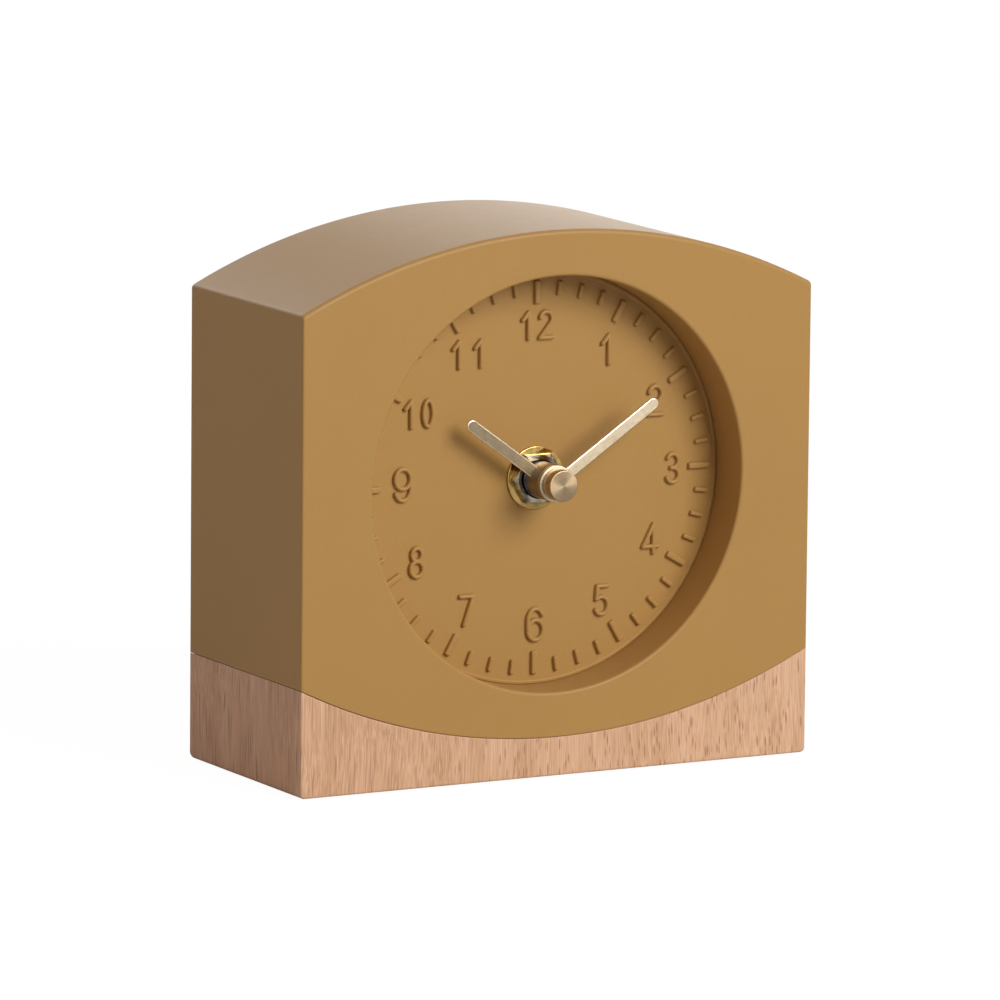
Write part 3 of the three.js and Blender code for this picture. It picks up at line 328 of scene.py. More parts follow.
class Look:
    """A procedural material: a principled shader with textures on object coordinates."""

    def __init__(self, name, **values):
        self.material = bpy.data.materials.new(name)
        self.material.use_nodes = True
        self.tree = self.material.node_tree
        self.shader = self.tree.nodes["Principled BSDF"]
        for key, value in values.items():
            self.shader.inputs[key.replace("_", " ")].default_value = value
        self.coords = self.node("TexCoord").outputs["Object"]

    def node(self, kind, inputs=None, **settings):
        made = self.tree.nodes.new("ShaderNode" + kind)
        for key, value in settings.items():
            setattr(made, key, value)
        for key, value in (inputs or {}).items():
            if isinstance(value, bpy.types.NodeSocket):
                self.tree.links.new(value, made.inputs[key])
            else:
                made.inputs[key].default_value = value
        return made

    def feed(self, socket, source):
        self.tree.links.new(source, self.shader.inputs[socket])

    def stretched(self, scale, source=None):
        inputs = {"Vector": source or self.coords, "Scale": scale}
        return self.node("Mapping", inputs).outputs["Vector"]

    def noise(self, scale, detail=2.0, roughness=0.5, source=None):
        vector = source or self.coords
        inputs = {"Vector": vector, "Scale": scale, "Detail": detail, "Roughness": roughness}
        return self.node("TexNoise", inputs).outputs["Fac"]

    def ramp(self, factor, *stops):
        made = self.node("ValToRGB", {"Fac": factor})
        elements = made.color_ramp.elements
        while len(elements) < len(stops):
            elements.new(0.5)
        for element, (position, colour) in zip(elements, stops):
            element.position = position
            element.color = (*colour, 1.0)
        return made.outputs["Color"]

    def spread(self, factor, low, high, start=0.3, end=0.7):
        inputs = {"Value": factor, "From Min": start, "From Max": end, "To Min": low, "To Max": high}
        return self.node("MapRange", inputs).outputs["Result"]

    def math(self, operation, a, b):
        return self.node("Math", {0: a, 1: b}, operation=operation).outputs["Value"]

    def vector_math(self, operation, a, b):
        return self.node("VectorMath", {0: a, 1: b}, operation=operation).outputs["Vector"]

    def blend(self, factor, a, b, mode="MIX"):
        made = self.node("Mix", data_type="RGBA", blend_type=mode)
        colours = [s for s in made.inputs if s.type == "RGBA"]
        for target, value in zip([made.inputs[0], *colours], [factor, a, b]):
            if isinstance(value, bpy.types.NodeSocket):
                self.tree.links.new(value, target)
            else:
                target.default_value = value
        return [s for s in made.outputs if s.type == "RGBA"][0]

    def bump(self, height, strength, distance):
        inputs = {"Height": height, "Strength": strength, "Distance": distance}
        self.feed("Normal", self.node("Bump", inputs).outputs["Normal"])


def moulded(name, light, dark, rough, grain=2600, relief=0.00002, specular=0.5, uneven=0.045):
    """A moulded plastic: a faint cloudiness, a fine eggshell grain and uneven gloss."""
    look = Look(name, Specular_IOR_Level=specular)
    cloud = look.noise(22, 3, 0.6)
    eggshell = look.noise(grain, 2, 0.55)
    tone = look.ramp(cloud, (0.32, dark), (0.68, light))
    mottle = look.ramp(eggshell, (0.2, (0.93, 0.93, 0.93)), (0.8, (1.0, 1.0, 1.0)))
    look.feed("Base Color", look.blend(1.0, tone, mottle, "MULTIPLY"))
    look.feed("Roughness", look.spread(look.noise(240, 3, 0.6), rough - uneven, rough + uneven))
    look.bump(eggshell, 0.25, relief)
    return look.material


def oak_wood():
    """Pale oak: upright grain with tonal bands, fine fibres and short dark pores."""
    look = Look("oak_wood", Specular_IOR_Level=0.35)
    drift = look.node("TexNoise", {"Vector": look.coords, "Scale": 14.0, "Detail": 2.0})
    centred = look.vector_math("SUBTRACT", drift.outputs["Color"], (0.5, 0.5, 0.5))
    sway = look.vector_math("MULTIPLY", centred, (0.007, 0.007, 0.0))
    grain = look.vector_math("ADD", look.coords, sway)
    bands = look.noise(1.0, 2, 0.5, look.stretched((160, 160, 3), grain))
    fibres = look.noise(1.0, 2, 0.6, look.stretched((3600, 3600, 18), grain))
    flecks = look.noise(1.0, 1, 0.5, look.stretched((4200, 4200, 70), grain))

    def pores(scale):
        cells = look.node("TexVoronoi", {"Vector": look.stretched(scale, grain), "Scale": 1.0})
        pick = look.node("SeparateColor", {"Color": cells.outputs["Color"]}).outputs["Red"]
        core = look.spread(cells.outputs["Distance"], 1.0, 0.0, 0.2, 0.42)
        return look.math("MULTIPLY", core, look.spread(pick, 0.0, 1.0, 0.48, 0.62))

    tone = look.ramp(bands, (0.3, (0.61, 0.35, 0.2)), (0.7, (0.715, 0.435, 0.272)))
    shade = look.ramp(fibres, (0.32, (0.82, 0.79, 0.76)), (0.64, (1.12, 1.13, 1.14)))
    across = look.node("SeparateXYZ", {"Vector": look.coords}).outputs["X"]
    side = HALF_WIDTH * MM
    fade = look.spread(across, 0.0, 1.0, -side, side)
    drifted = look.ramp(fade, (0.0, (0.93, 0.905, 0.87)), (1.0, (1.02, 1.04, 1.04)))
    wood = look.blend(1.0, look.blend(1.0, tone, drifted, "MULTIPLY"), shade, "MULTIPLY")
    lightened = look.spread(flecks, 0.0, 0.45, 0.54, 0.68)
    streaked = look.blend(lightened, wood, (0.86, 0.58, 0.39, 1.0))
    on_left = look.spread(across, 0.95, 0.1, -side, 0.0)
    on_right = look.spread(across, 0.25, 0.8, -side, 0.0)
    long_pores = look.math("MULTIPLY", pores((1700, 1700, 55)), on_left)
    short_pores = look.math("MULTIPLY", pores((1600, 1600, 240)), on_right)
    hollow = look.math("MAXIMUM", long_pores, short_pores)
    look.feed("Base Color", look.blend(hollow, streaked, (0.36, 0.18, 0.1, 1.0)))
    look.feed("Roughness", look.spread(fibres, 0.5, 0.66))
    depth = look.math("SUBTRACT", look.math("MULTIPLY", fibres, 0.4), hollow)
    look.bump(depth, 0.3, 0.00005)
    return look.material


def polished(name, light, dark, rough, patch=190):
    """A polished metal with hair scratches and patches of tone, which are faint tarnish, and on the nut
    painted dark and bright reflections.
    """
    look = Look(name, Metallic=1.0)
    tarnish_and_reflection = look.noise(patch, 3, 0.55)
    scratches = look.noise(1.0, 2, 0.5, look.stretched((9000, 500, 9000)))
    look.feed("Base Color", look.ramp(tarnish_and_reflection, (0.35, dark), (0.65, light)))
    look.feed("Roughness", look.spread(tarnish_and_reflection, rough, rough + 0.07))
    look.bump(scratches, 0.05, 0.000004)
    return look.material


def brushed(name, light, dark, rough, along):
    """A metal with fine grain in one direction, given as a stretch of the object's axes."""
    look = Look(name, Metallic=1.0)
    strokes = look.noise(1.0, 3, 0.65, look.stretched(along))
    blotch = look.noise(900, 3, 0.7)
    mixed = look.math("ADD", look.math("MULTIPLY", strokes, 0.6), look.math("MULTIPLY", blotch, 0.4))
    look.feed("Base Color", look.ramp(mixed, (0.34, dark), (0.64, light)))
    look.feed("Roughness", look.spread(mixed, rough, rough + 0.12))
    look.bump(mixed, 0.25, 0.000012)
    return look.material


def lathe_turned(name, light, dark, rough):
    """A turned metal: rings about the object's Y axis, which catch the light as a cone."""
    look = Look(name, Metallic=1.0, Anisotropic=0.75)
    flat = look.vector_math("MULTIPLY", look.coords, (1.0, 0.0, 1.0))
    radius = look.node("VectorMath", {0: flat}, operation="LENGTH").outputs["Value"]
    inputs = {"W": radius, "Scale": 9000.0, "Detail": 2.0}
    rings = look.node("TexNoise", inputs, noise_dimensions="1D").outputs["Fac"]
    look.feed("Base Color", look.ramp(rings, (0.35, dark), (0.65, light)))
    look.feed("Roughness", look.spread(rings, rough, rough + 0.12))
    tangent = look.node("Tangent", direction_type="RADIAL", axis="Y").outputs["Tangent"]
    look.feed("Tangent", tangent)
    look.bump(rings, 0.2, 0.000008)
    return look.material


def battery_print():
    """A plain printed sleeve: a copper-toned end by the button, dark grey elsewhere."""
    look = Look("battery_print", Metallic=0.35)
    along = look.node("SeparateXYZ", {"Vector": look.coords}).outputs["Y"]
    wear = look.noise(700, 3, 0.6)
    band = look.spread(along, 0.0, 1.0, 0.0128, 0.0130)
    sleeve = look.ramp(wear, (0.3, (0.02, 0.02, 0.022)), (0.7, (0.035, 0.035, 0.038)))
    copper = look.ramp(wear, (0.3, (0.5, 0.22, 0.1)), (0.7, (0.6, 0.29, 0.14)))
    look.feed("Base Color", look.blend(band, sleeve, copper))
    look.feed("Roughness", look.spread(wear, 0.24, 0.36))
    look.bump(wear, 0.08, 0.00001)
    return look.material


def wound_wire():
    """Fine enamelled wire, laid turn by turn along X."""
    look = Look("wound_wire", Metallic=1.0)
    inputs = {"Vector": look.coords, "Scale": 1400.0, "Distortion": 0.4}
    turns = look.node("TexWave", inputs).outputs["Fac"]
    look.feed("Base Color", look.ramp(turns, (0.0, (0.25, 0.07, 0.025)), (1.0, (0.62, 0.24, 0.1))))
    look.feed("Roughness", look.spread(turns, 0.28, 0.42, 0.0, 1.0))
    look.bump(turns, 0.5, 0.00004)
    return look.material


def printed_board():
    """A green board with faint tracks under its lacquer."""
    look = Look("printed_board")
    inputs = {"Vector": look.coords, "Scale": 90.0}
    tracks = look.node("TexBrick", inputs, offset=0.3).outputs["Fac"]
    weave = look.noise(1600, 2, 0.6)
    green = look.ramp(weave, (0.3, (0.014, 0.09, 0.035)), (0.7, (0.025, 0.13, 0.05)))
    look.feed("Base Color", look.blend(tracks, green, (0.05, 0.22, 0.08, 1.0)))
    look.feed("Roughness", look.spread(weave, 0.32, 0.45))
    look.bump(tracks, 0.2, 0.00003)
    return look.material


ochre = moulded(
    "ochre_moulding",
    (0.452, 0.252, 0.077),
    (0.44, 0.244, 0.073),
    rough=0.38,
    relief=0.000001,
    specular=0.2,
    uneven=0.012,
)
black = moulded("black_moulding", (0.018, 0.018, 0.019), (0.012, 0.012, 0.013), 0.5, 1800, 0.00004)
white = moulded("white_acetal", (0.8, 0.78, 0.7), (0.74, 0.71, 0.62), 0.4, 2200)
rubber = moulded("black_rubber", (0.02, 0.019, 0.017), (0.013, 0.013, 0.012), 0.82, 1500, 0.00006, 0.3)
oak = oak_wood()
brass = polished("polished_brass", (0.8, 0.54, 0.18), (0.36, 0.23, 0.075), 0.1, 260)
LENGTHWISE = (5200, 5200, 420)
EVENLY = (900, 900, 900)
# The hands are one pale gold in two copies: the minute hand's copy is painted lighter, a painted
# highlight, and the hour hand's copy is painted darker, a painted shade. They stand in for the bright
# and dark reflections on the two hands.
lit_gold, lit_gold_dark = (0.72, 0.6, 0.42), (0.53, 0.43, 0.29)
lit_pale_gold = brushed("brushed_gold_painted_light", lit_gold, lit_gold_dark, 0.36, LENGTHWISE)
shaded_gold, shaded_gold_dark = (0.34, 0.265, 0.17), (0.23, 0.175, 0.105)
shaded_pale_gold = brushed("brushed_gold_painted_shade", shaded_gold, shaded_gold_dark, 0.32, LENGTHWISE)
# The hands' rims are polished, and their light colour is a painted highlight along the edges.
rim_highlight_metal = polished("polished_gold_rim_highlight", (0.86, 0.72, 0.52), (0.7, 0.57, 0.39), 0.24, 420)
turned_metal = lathe_turned("turned_brass", (0.53, 0.39, 0.24), (0.34, 0.24, 0.135), 0.26)
# The nut's patches run from pale to near black: painted bright and dark reflections.
nickel = polished("polished_nickel", (0.52, 0.45, 0.34), (0.12, 0.1, 0.075), 0.08, 420)
# The bush's thread is painted near black, a painted dark reflection round the hub.
steel_with_painted_dark = polished("steel_painted_dark", (0.1, 0.095, 0.1), (0.05, 0.048, 0.055), 0.16, 420)
zinc = brushed("zinc_plate", (0.68, 0.69, 0.7), (0.46, 0.47, 0.49), 0.26, EVENLY)
sleeve_print = battery_print()
copper_wire = wound_wire()
board_green = printed_board()


# Housing and base


def housing_outline(top, side, seam):
    """The housing's front outline, drawn in from its top, its sides and its seam."""
    half = HALF_WIDTH - side
    radius = max(CORNER - side, LEAST_CORNER)
    arch = ARCH_RADIUS - top
    hollow = HOUSING_SEAM_RADIUS - seam
    fillet_x = half - radius
    fillet_z = ARCH_CENTRE_Z + math.sqrt((arch - radius) ** 2 - fillet_x**2)
    meet = math.degrees(math.atan2(fillet_z - ARCH_CENTRE_Z, fillet_x))
    low = SEAM_CENTRE_Z - math.sqrt(hollow**2 - half**2)
    reach = math.degrees(math.asin(half / hollow))
    return [
        *line((half, low), (half, fillet_z), SIDE_STEPS)[:-1],
        *arc(fillet_x, fillet_z, radius, radius, 0, meet, CORNER_STEPS),
        *arc(0, ARCH_CENTRE_Z, arch, arch, meet, 180 - meet, ARC_STEPS)[1:-1],
        *arc(-fillet_x, fillet_z, radius, radius, 180 - meet, 180, CORNER_STEPS),
        *line((-half, fillet_z), (-half, low), SIDE_STEPS)[1:],
        *arc(0, SEAM_CENTRE_Z, hollow, hollow, 270 - reach, 270 + reach, ARC_STEPS)[1:-1],
    ]


def base_outline(bottom, side, seam):
    """The base's front outline, drawn in from its bottom, its sides and its seam."""
    half = HALF_WIDTH - side
    low = BASE_Z + bottom
    radius = max(FOOT_CORNER - side, LEAST_CORNER)
    crest = HOUSING_SEAM_RADIUS + SEAM_GAP + seam
    high = SEAM_CENTRE_Z - math.sqrt(crest**2 - half**2)
    reach = math.degrees(math.asin(half / crest))
    foot = half - radius
    return [
        *arc(foot, low + radius, radius, radius, -90, 0, CORNER_STEPS),
        *line((half, low + radius), (half, high), BASE_SIDE_STEPS)[1:],
        *arc(0, SEAM_CENTRE_Z, crest, crest, 270 + reach, 270 - reach, ARC_STEPS)[1:-1],
        *line((-half, high), (-half, low + radius), BASE_SIDE_STEPS),
        *arc(-foot, low + radius, radius, radius, 180, 270, CORNER_STEPS)[1:],
        *line((-foot, low), (foot, low), ARC_STEPS)[1:-1],
    ]


def edge_steps(radii, steps=7):
    """Rounded edges from a face to the sides, as (depth, insets), each inset with its own radius."""
    widest = max(radii)
    made = []
    for i in range(steps + 1):
        depth = widest * (1 - math.cos(math.radians(90 * i / steps)))
        short = [max(radius - depth, 0) for radius in radii]
        made.append((depth, [r - math.sqrt(r * r - s * s) for r, s in zip(radii, short)]))
    return made


def body_loops(outline, front, back):
    """Loops over a body's front edge, its sides and its back edge, with the edges' radii."""

    def loop(insets, y):
        return [(x, y, z) for x, z in outline(*insets)]

    def edge(radii, y, way):
        flat = loop([radius + SUPPORT for radius in radii], y)
        past = loop((0, 0, 0), y + way * (max(radii) + SUPPORT))
        return [flat, *[loop(insets, y + way * depth) for depth, insets in edge_steps(radii)], past]

    return edge(front, FRONT_Y, 1) + edge(back, BACK_Y, -1)[::-1]


def housing_mesh():
    radii = (TOP_EDGE, SIDE_EDGE, SEAM_EDGE)
    bearings = [math.atan2(z - DIAL_Z, x) for x, z in housing_outline(*radii)]

    def circle(radius, y):
        return [(radius * math.cos(b), y, DIAL_Z + radius * math.sin(b)) for b in bearings]

    def inner(wall, y):
        return [(x, y, z) for x, z in housing_outline(wall, wall, wall)]

    rim = rounded(
        [
            (OPENING_RADIUS + OPENING_EDGE + SUPPORT, FRONT_Y),
            (OPENING_RADIUS, FRONT_Y, OPENING_EDGE),
            (OPENING_RADIUS, SLEEVE_END_Y),
        ],
        7,
    )
    sleeve = OPENING_RADIUS + SLEEVE_WALL
    loops = [circle(radius, y) for radius, y in rim[::-1]]
    loops += body_loops(housing_outline, radii, radii)
    loops += [inner(WALL - BACK_CHAMFER, BACK_Y), inner(WALL, BACK_Y - BACK_CHAMFER)]
    loops += [inner(WALL, FRONT_Y + WALL), circle(sleeve, FRONT_Y + WALL)]
    loops.append(circle(sleeve, SLEEVE_END_Y))
    form = Form()
    form.stack(loops, cycle=True)
    return mesh_of("housing", form)


FOOT_X = 52.0
FOOT_Y = 14.5
FOOT_PLACES = [(x, MIDDLE_Y + y) for y in (FOOT_Y, -FOOT_Y) for x in (-FOOT_X, FOOT_X)]
FOOT_RADIUS = 5.0
FOOT_HOLE = 5.3
FOOT_TOP_Z = 1.4
BASE_SCREW_X = 40.0
BASE_SCREW_Z = 5.6
BASE_SCREW_PLACES = [(-BASE_SCREW_X, MIDDLE_Y), (BASE_SCREW_X, MIDDLE_Y)]
SCREW_HOLE = 3.2
UNDER_Z = -1.0


def upright_bar(radius, low, high, x, y, segments=48):
    form = Form()
    ring = [clock_point(360 * i / segments, radius) for i in range(segments)]
    form.stack([[(x + dx, y + dy, z) for dx, dy in ring] for z in (low, high)])
    return form


def base_mesh():
    form = Form()
    radii = (SIDE_EDGE, SIDE_EDGE, WOOD_EDGE)
    form.stack(body_loops(base_outline, radii, (FOOT_BACK_EDGE, SIDE_EDGE, SEAM_EDGE)))
    cutters = [upright_bar(FOOT_HOLE, UNDER_Z, FOOT_TOP_Z, x, y) for x, y in FOOT_PLACES]
    cutters += [upright_bar(SCREW_HOLE, UNDER_Z, BASE_SCREW_Z, x, y) for x, y in BASE_SCREW_PLACES]
    return carved(mesh_of("base", form), cutters)


piece("housing", housing_mesh(), "case", "paint", ochre, ["front_housing"])
piece("base", base_mesh(), "case", "oak", oak, ["wood_base"])


# Dial


def bead(form, path, width, base_y, height, closed=False, sides=10, end_steps=4):
    """A raised line with a rounded top along (x, z) points, with round ends if it is open."""
    ways = [Vector(p) for p in path]
    count = len(ways)
    sunk_y = base_y + math.copysign(SINK, height)

    def section(at, across, wide, high):
        ring = []
        for k in range(sides + 1):
            s = -math.cos(math.pi * k / sides)
            lift = high * max(1 - abs(s) ** BEAD_POWER, 0) ** (1 / BEAD_POWER)
            point = at + across * (s * wide / 2)
            ring.append((point.x, base_y - lift if 0 < k < sides else sunk_y, point.y))
        return ring

    rings = []
    for i, at in enumerate(ways):
        before = ways[(i - 1) % count] if closed or i else at
        after = ways[(i + 1) % count] if closed or i < count - 1 else at
        along = (after - before).normalized()
        rings.append(section(at, Vector((-along.y, along.x)), width, height))
    if not closed:
        for end, inner in ((0, 1), (-1, -2)):
            out = (ways[end] - ways[inner]).normalized()
            along = -out if end == 0 else out
            across = Vector((-along.y, along.x))
            caps = []
            for k in range(1, end_steps + 1):
                angle = math.radians(90 * k / end_steps)
                share = max(math.cos(angle), LEAST_END)
                place = ways[end] + out * (width / 2 * math.sin(angle))
                caps.append(section(place, across, width * share, height * share**END_FALL))
            rings = caps[::-1] + rings if end == 0 else rings + caps
    form.stack(rings, cycle=closed)


def split_at_corners(points, limit=40):
    """A polyline cut into pieces where it turns sharply."""
    parts = [[points[0]]]
    for before, at, after in zip(points, points[1:], points[2:]):
        parts[-1].append(at)
        turn = (Vector(at) - Vector(before)).angle(Vector(after) - Vector(at))
        if math.degrees(turn) > limit:
            parts.append([at])
    parts[-1].append(points[-1])
    return parts


def ring(cx, cz, rx, rz):
    return arc(cx, cz, rx, rz, 0, 360, 32)[:-1]


SIX_STROKES = [
    (ring(0, 0.3, 0.3, 0.35), True),
    ([(-0.3, 0.29), (-0.3, 0.5), *arc(0, 0.65, 0.3, 0.4, 180, 25, 18)], False),
]


def upside_down(stroke):
    points, closed = stroke
    return [(-x, 1 - z) for x, z in points], closed


# Strokes in a cell of height 1, as (points, closed)
DIGIT_STROKES = {
    "0": [(ring(0, 0.5, 0.2, 0.5), True)],
    "1": [([(-0.19, 0.72), (0.06, 1), (0.06, 0)], False)],
    "2": [([*arc(0, 0.73, 0.25, 0.27, 170, -30, 20), (-0.27, 0), (0.28, 0)], False)],
    "3": [
        ([*arc(-0.01, 0.755, 0.22, 0.245, 155, -90, 20), (-0.07, 0.51)], False),
        (arc(-0.01, 0.255, 0.24, 0.255, 90, -155, 20), False),
    ],
    "4": [([(0.12, 1), (-0.29, 0.23), (0.31, 0.23)], False), ([(0.12, 1), (0.12, 0)], False)],
    "5": [
        ([(0.23, 1), (-0.17, 1), (-0.21, 0.55), *arc(-0.01, 0.31, 0.255, 0.31, 120, -150, 22)], False),
    ],
    "6": SIX_STROKES,
    "7": [([(-0.25, 1), (0.25, 1), (-0.1, 0)], False)],
    "8": [(ring(0, 0.772, 0.19, 0.23), True), (ring(0, 0.27, 0.24, 0.27), True)],
    "9": [upside_down(stroke) for stroke in SIX_STROKES],
}


def numerals(form):
    for hour in range(1, 13):
        x, z = clock_point(30 * hour, NUMERAL_RADIUS)
        across, up = NUMERAL_SHIFT[hour]
        height = PAIR_HEIGHT if hour in PAIR_SPACING else NUMERAL_HEIGHT
        span = height - NUMERAL_STROKE
        for i, digit in enumerate(str(hour)):
            left = (i - 0.5) * PAIR_SPACING[hour] if hour in PAIR_SPACING else 0
            middle = (x + across + left, DIAL_Z + z + up - span / 2)
            for points, closed in DIGIT_STROKES[digit]:
                placed = [(middle[0] + px * span, middle[1] + pz * span) for px, pz in points]
                for part in [placed] if closed else split_at_corners(placed):
                    bead(form, part, NUMERAL_STROKE, DIAL_FACE_Y, RELIEF, closed)


def marks(form):
    for i in range(MARK_COUNT):
        length, width = HOUR_MARK if i % MARKS_PER_HOUR == 0 else QUARTER_MARK
        along = Vector(clock_point(360 * i / MARK_COUNT, 1))
        across = Vector((along.y, -along.x))

        def bar(inset, y):
            half = width / 2 - inset
            near = MARK_OUTER - length + inset
            far = MARK_OUTER - inset
            bend = max(MARK_CORNER - inset, 0.06)
            corners = [(half, near), (half, far), (-half, far), (-half, near)]
            plan = rounded([(*corner, bend) for corner in corners], 4, True)
            places = [across * x + along * r for x, r in plan]
            return [(p.x, y, DIAL_Z + p.y) for p in places]

        top = DIAL_FACE_Y - RELIEF
        form.stack(
            [
                bar(-0.1, DIAL_FACE_Y + SINK),
                bar(-0.03, DIAL_FACE_Y - 0.04),
                bar(0, DIAL_FACE_Y - 0.12),
                bar(0, top + 0.42),
                bar(0.03, top + 0.28),
                bar(0.11, top + 0.15),
                bar(0.23, top + 0.05),
                bar(0.38, top),
                bar(0.44, top),
            ]
        )


def dial_mesh():
    form = Form()
    lip = arc(DIAL_RADIUS - 0.2, DIAL_FACE_Y + 0.02, 0.3, -0.17, 170, 60, 6)
    edge = arc(DIAL_RADIUS + 0.12, DIAL_FACE_Y + 0.12, 0.25, -0.25, 80, 0, 5)
    profile = [
        (BUSH_HOLE, DIAL_FACE_Y),
        (DIAL_RADIUS - 1.0, DIAL_FACE_Y),
        *lip,
        *edge,
        (DIAL_RADIUS + 0.37, DIAL_BACK_Y),
        (OPENING_RADIUS + SLEEVE_WALL, DIAL_BACK_Y),
        (OPENING_RADIUS + SLEEVE_WALL, FLANGE_BACK_Y),
        (BUSH_HOLE, FLANGE_BACK_Y),
    ]
    form.turned(profile, 256, 0, DIAL_Z, closed=True)
    marks(form)
    numerals(form)
    return mesh_of("dial_face", form, 50)


piece("dial_face", dial_mesh(), "case", "paint", ochre, ["dial"])


# Washer, nut and the end of the movement's bush


def turned_mesh(name, corners, segments=96, closed=False, sharp=SHARP):
    form = Form()
    form.turned(rounded(corners, 5, closed), segments, closed=closed)
    return mesh_of(name, form, sharp)


def nut_mesh():
    """A hexagon nut, its flats above and below, with a turned chamfer on the front."""
    back = WASHER_FRONT_Y
    face = 0.985 * NUT_FLAT
    countersink = 0.35
    segments = 192
    turns = [2 * math.pi * i / segments for i in range(segments)]
    form = Form()

    def hexagon(t, share=1.0):
        away = (math.degrees(t) + 30) % 60 - 30
        return NUT_FLAT * share / math.cos(math.radians(away))

    def loop(radius_of, y_of):
        return [(radius_of(t) * math.sin(t), y_of(t), radius_of(t) * math.cos(t)) for t in turns]

    def circle(radius, y):
        return loop(lambda t: radius, lambda t: y)

    def chamfer(t):
        return NUT_FRONT_Y + max(hexagon(t) - face, 0) * math.tan(math.radians(30))

    form.stack(
        [
            circle(NUT_BORE, back),
            loop(lambda t: hexagon(t, 0.985), lambda t: back),
            loop(hexagon, lambda t: back - 0.1),
            loop(hexagon, lambda t: chamfer(t) + 0.06),
            loop(lambda t: hexagon(t, 0.993), chamfer),
            circle(face, NUT_FRONT_Y),
            circle(NUT_BORE + countersink, NUT_FRONT_Y),
            circle(NUT_BORE, NUT_FRONT_Y + countersink),
        ],
        cycle=True,
    )
    return mesh_of("nut", form, 24)


def thread_mesh():
    """The threaded end of the bush, which stands a little out of its nut."""
    start = NUT_FRONT_Y + 0.2
    profile = [(BUSH_BORE, start)]
    for i in range(4):
        y = start - 0.1 - THREAD_PITCH * i
        profile += [(THREAD_CREST, y), (THREAD_ROOT, y - THREAD_PITCH / 2)]
    profile += [(THREAD_ROOT - 0.08, BUSH_END_Y), (BUSH_BORE, BUSH_END_Y)]
    return turned_mesh("bush_thread", profile, 64, True, sharp=20)


AXIS = (0, 0, DIAL_Z)
WASHER_PROFILE = [
    (BUSH_HOLE, WASHER_FRONT_Y),
    (WASHER_RADIUS, WASHER_FRONT_Y, 0.16),
    (WASHER_RADIUS, DIAL_FACE_Y, 0.1),
    (BUSH_HOLE, DIAL_FACE_Y),
]
washer_mesh = turned_mesh("washer", WASHER_PROFILE, closed=True)
piece("washer", washer_mesh, "case", "brass", brass, ["dial_washer"], AXIS)
piece("nut", nut_mesh(), "case", "steel", nickel, ["dial_nut"], AXIS)
# Its near-black metal is a painted dark reflection.
piece("bush_thread", thread_mesh(), "case", "steel", steel_with_painted_dark, (), AXIS)


# Hands


def hand_mesh(name, length, hub, blade_back, bore):
    """A bar with a round end on a turned hub, whose front and back y are given."""
    form = Form()
    half = HAND_WIDTH / 2

    def plan(inset, y):
        wide = half - inset
        outline = [(wide, 0), *arc(0, length - half, wide, wide, 0, 180, 24), (-wide, 0)]
        return [(x, y, z) for x, z in outline]

    front = blade_back - HAND_THICKNESS
    form.stack(
        [
            plan(0.36, front),
            plan(0.3, front),
            plan(0.2, front + 0.03),
            plan(0.09, front + 0.1),
            plan(0.02, front + 0.2),
            plan(0, front + 0.3),
            plan(0, blade_back - 0.1),
            plan(0.03, blade_back - 0.03),
            plan(0.1, blade_back),
        ]
    )
    hub_front, hub_back = hub
    hub_profile = [
        (bore, hub_front, 0.1),
        (HUB_RADIUS, hub_front, 0.14),
        (HUB_RADIUS, hub_back, 0.14),
        (bore, hub_back),
    ]
    form.turned(rounded(hub_profile, 4, True), 96, closed=True)
    return mesh_of(name, form)


def bright_rims(mesh, face, rim):
    """Gives the rim of a hand's bar a lighter polished metal than its face and hub; its lightness is a
    painted highlight.
    """
    mesh.materials.append(face)
    mesh.materials.append(rim)
    for polygon in mesh.polygons:
        from_axis = math.hypot(polygon.center.x, polygon.center.z)
        on_rim = polygon.normal.y > -0.97 and from_axis > RIM_START * MM
        polygon.material_index = int(on_rim)


hour_mesh = hand_mesh("hour_bar", length=24.9, hub=(-24.1, -18.5), blade_back=-20.1, bore=2.65)
minute_mesh = hand_mesh("minute_bar", length=31.3, hub=(-25.1, -24.5), blade_back=-24.5, bore=1.75)
# The hour hand wears the darker copy with painted shade, and the minute hand the lighter copy with
# painted highlight.
bright_rims(hour_mesh, shaded_pale_gold, rim_highlight_metal)
bright_rims(minute_mesh, lit_pale_gold, rim_highlight_metal)
hour_turn = (0, HOUR_ANGLE, 0)
minute_turn = (0, MINUTE_ANGLE, 0)
piece("hour_bar", hour_mesh, "hour", "pale_gold", shaded_pale_gold, ["hour_hand"], AXIS, hour_turn)
piece("minute_bar", minute_mesh, "minute", "pale_gold", lit_pale_gold, ["minute_hand"], AXIS, minute_turn)
CAP_PROFILE = [
    (0, CAP_FRONT_Y),
    (CAP_RADIUS, CAP_FRONT_Y, 0.22),
    (CAP_RADIUS, CAP_BACK_Y, 0.1),
    (0, CAP_BACK_Y),
]
cap_mesh = turned_mesh("cap", CAP_PROFILE, 128)
piece("cap", cap_mesh, "minute", "brass", turned_metal, ["hand_cap"], AXIS)


# Back cover, and the raised frame of the well that shows the movement

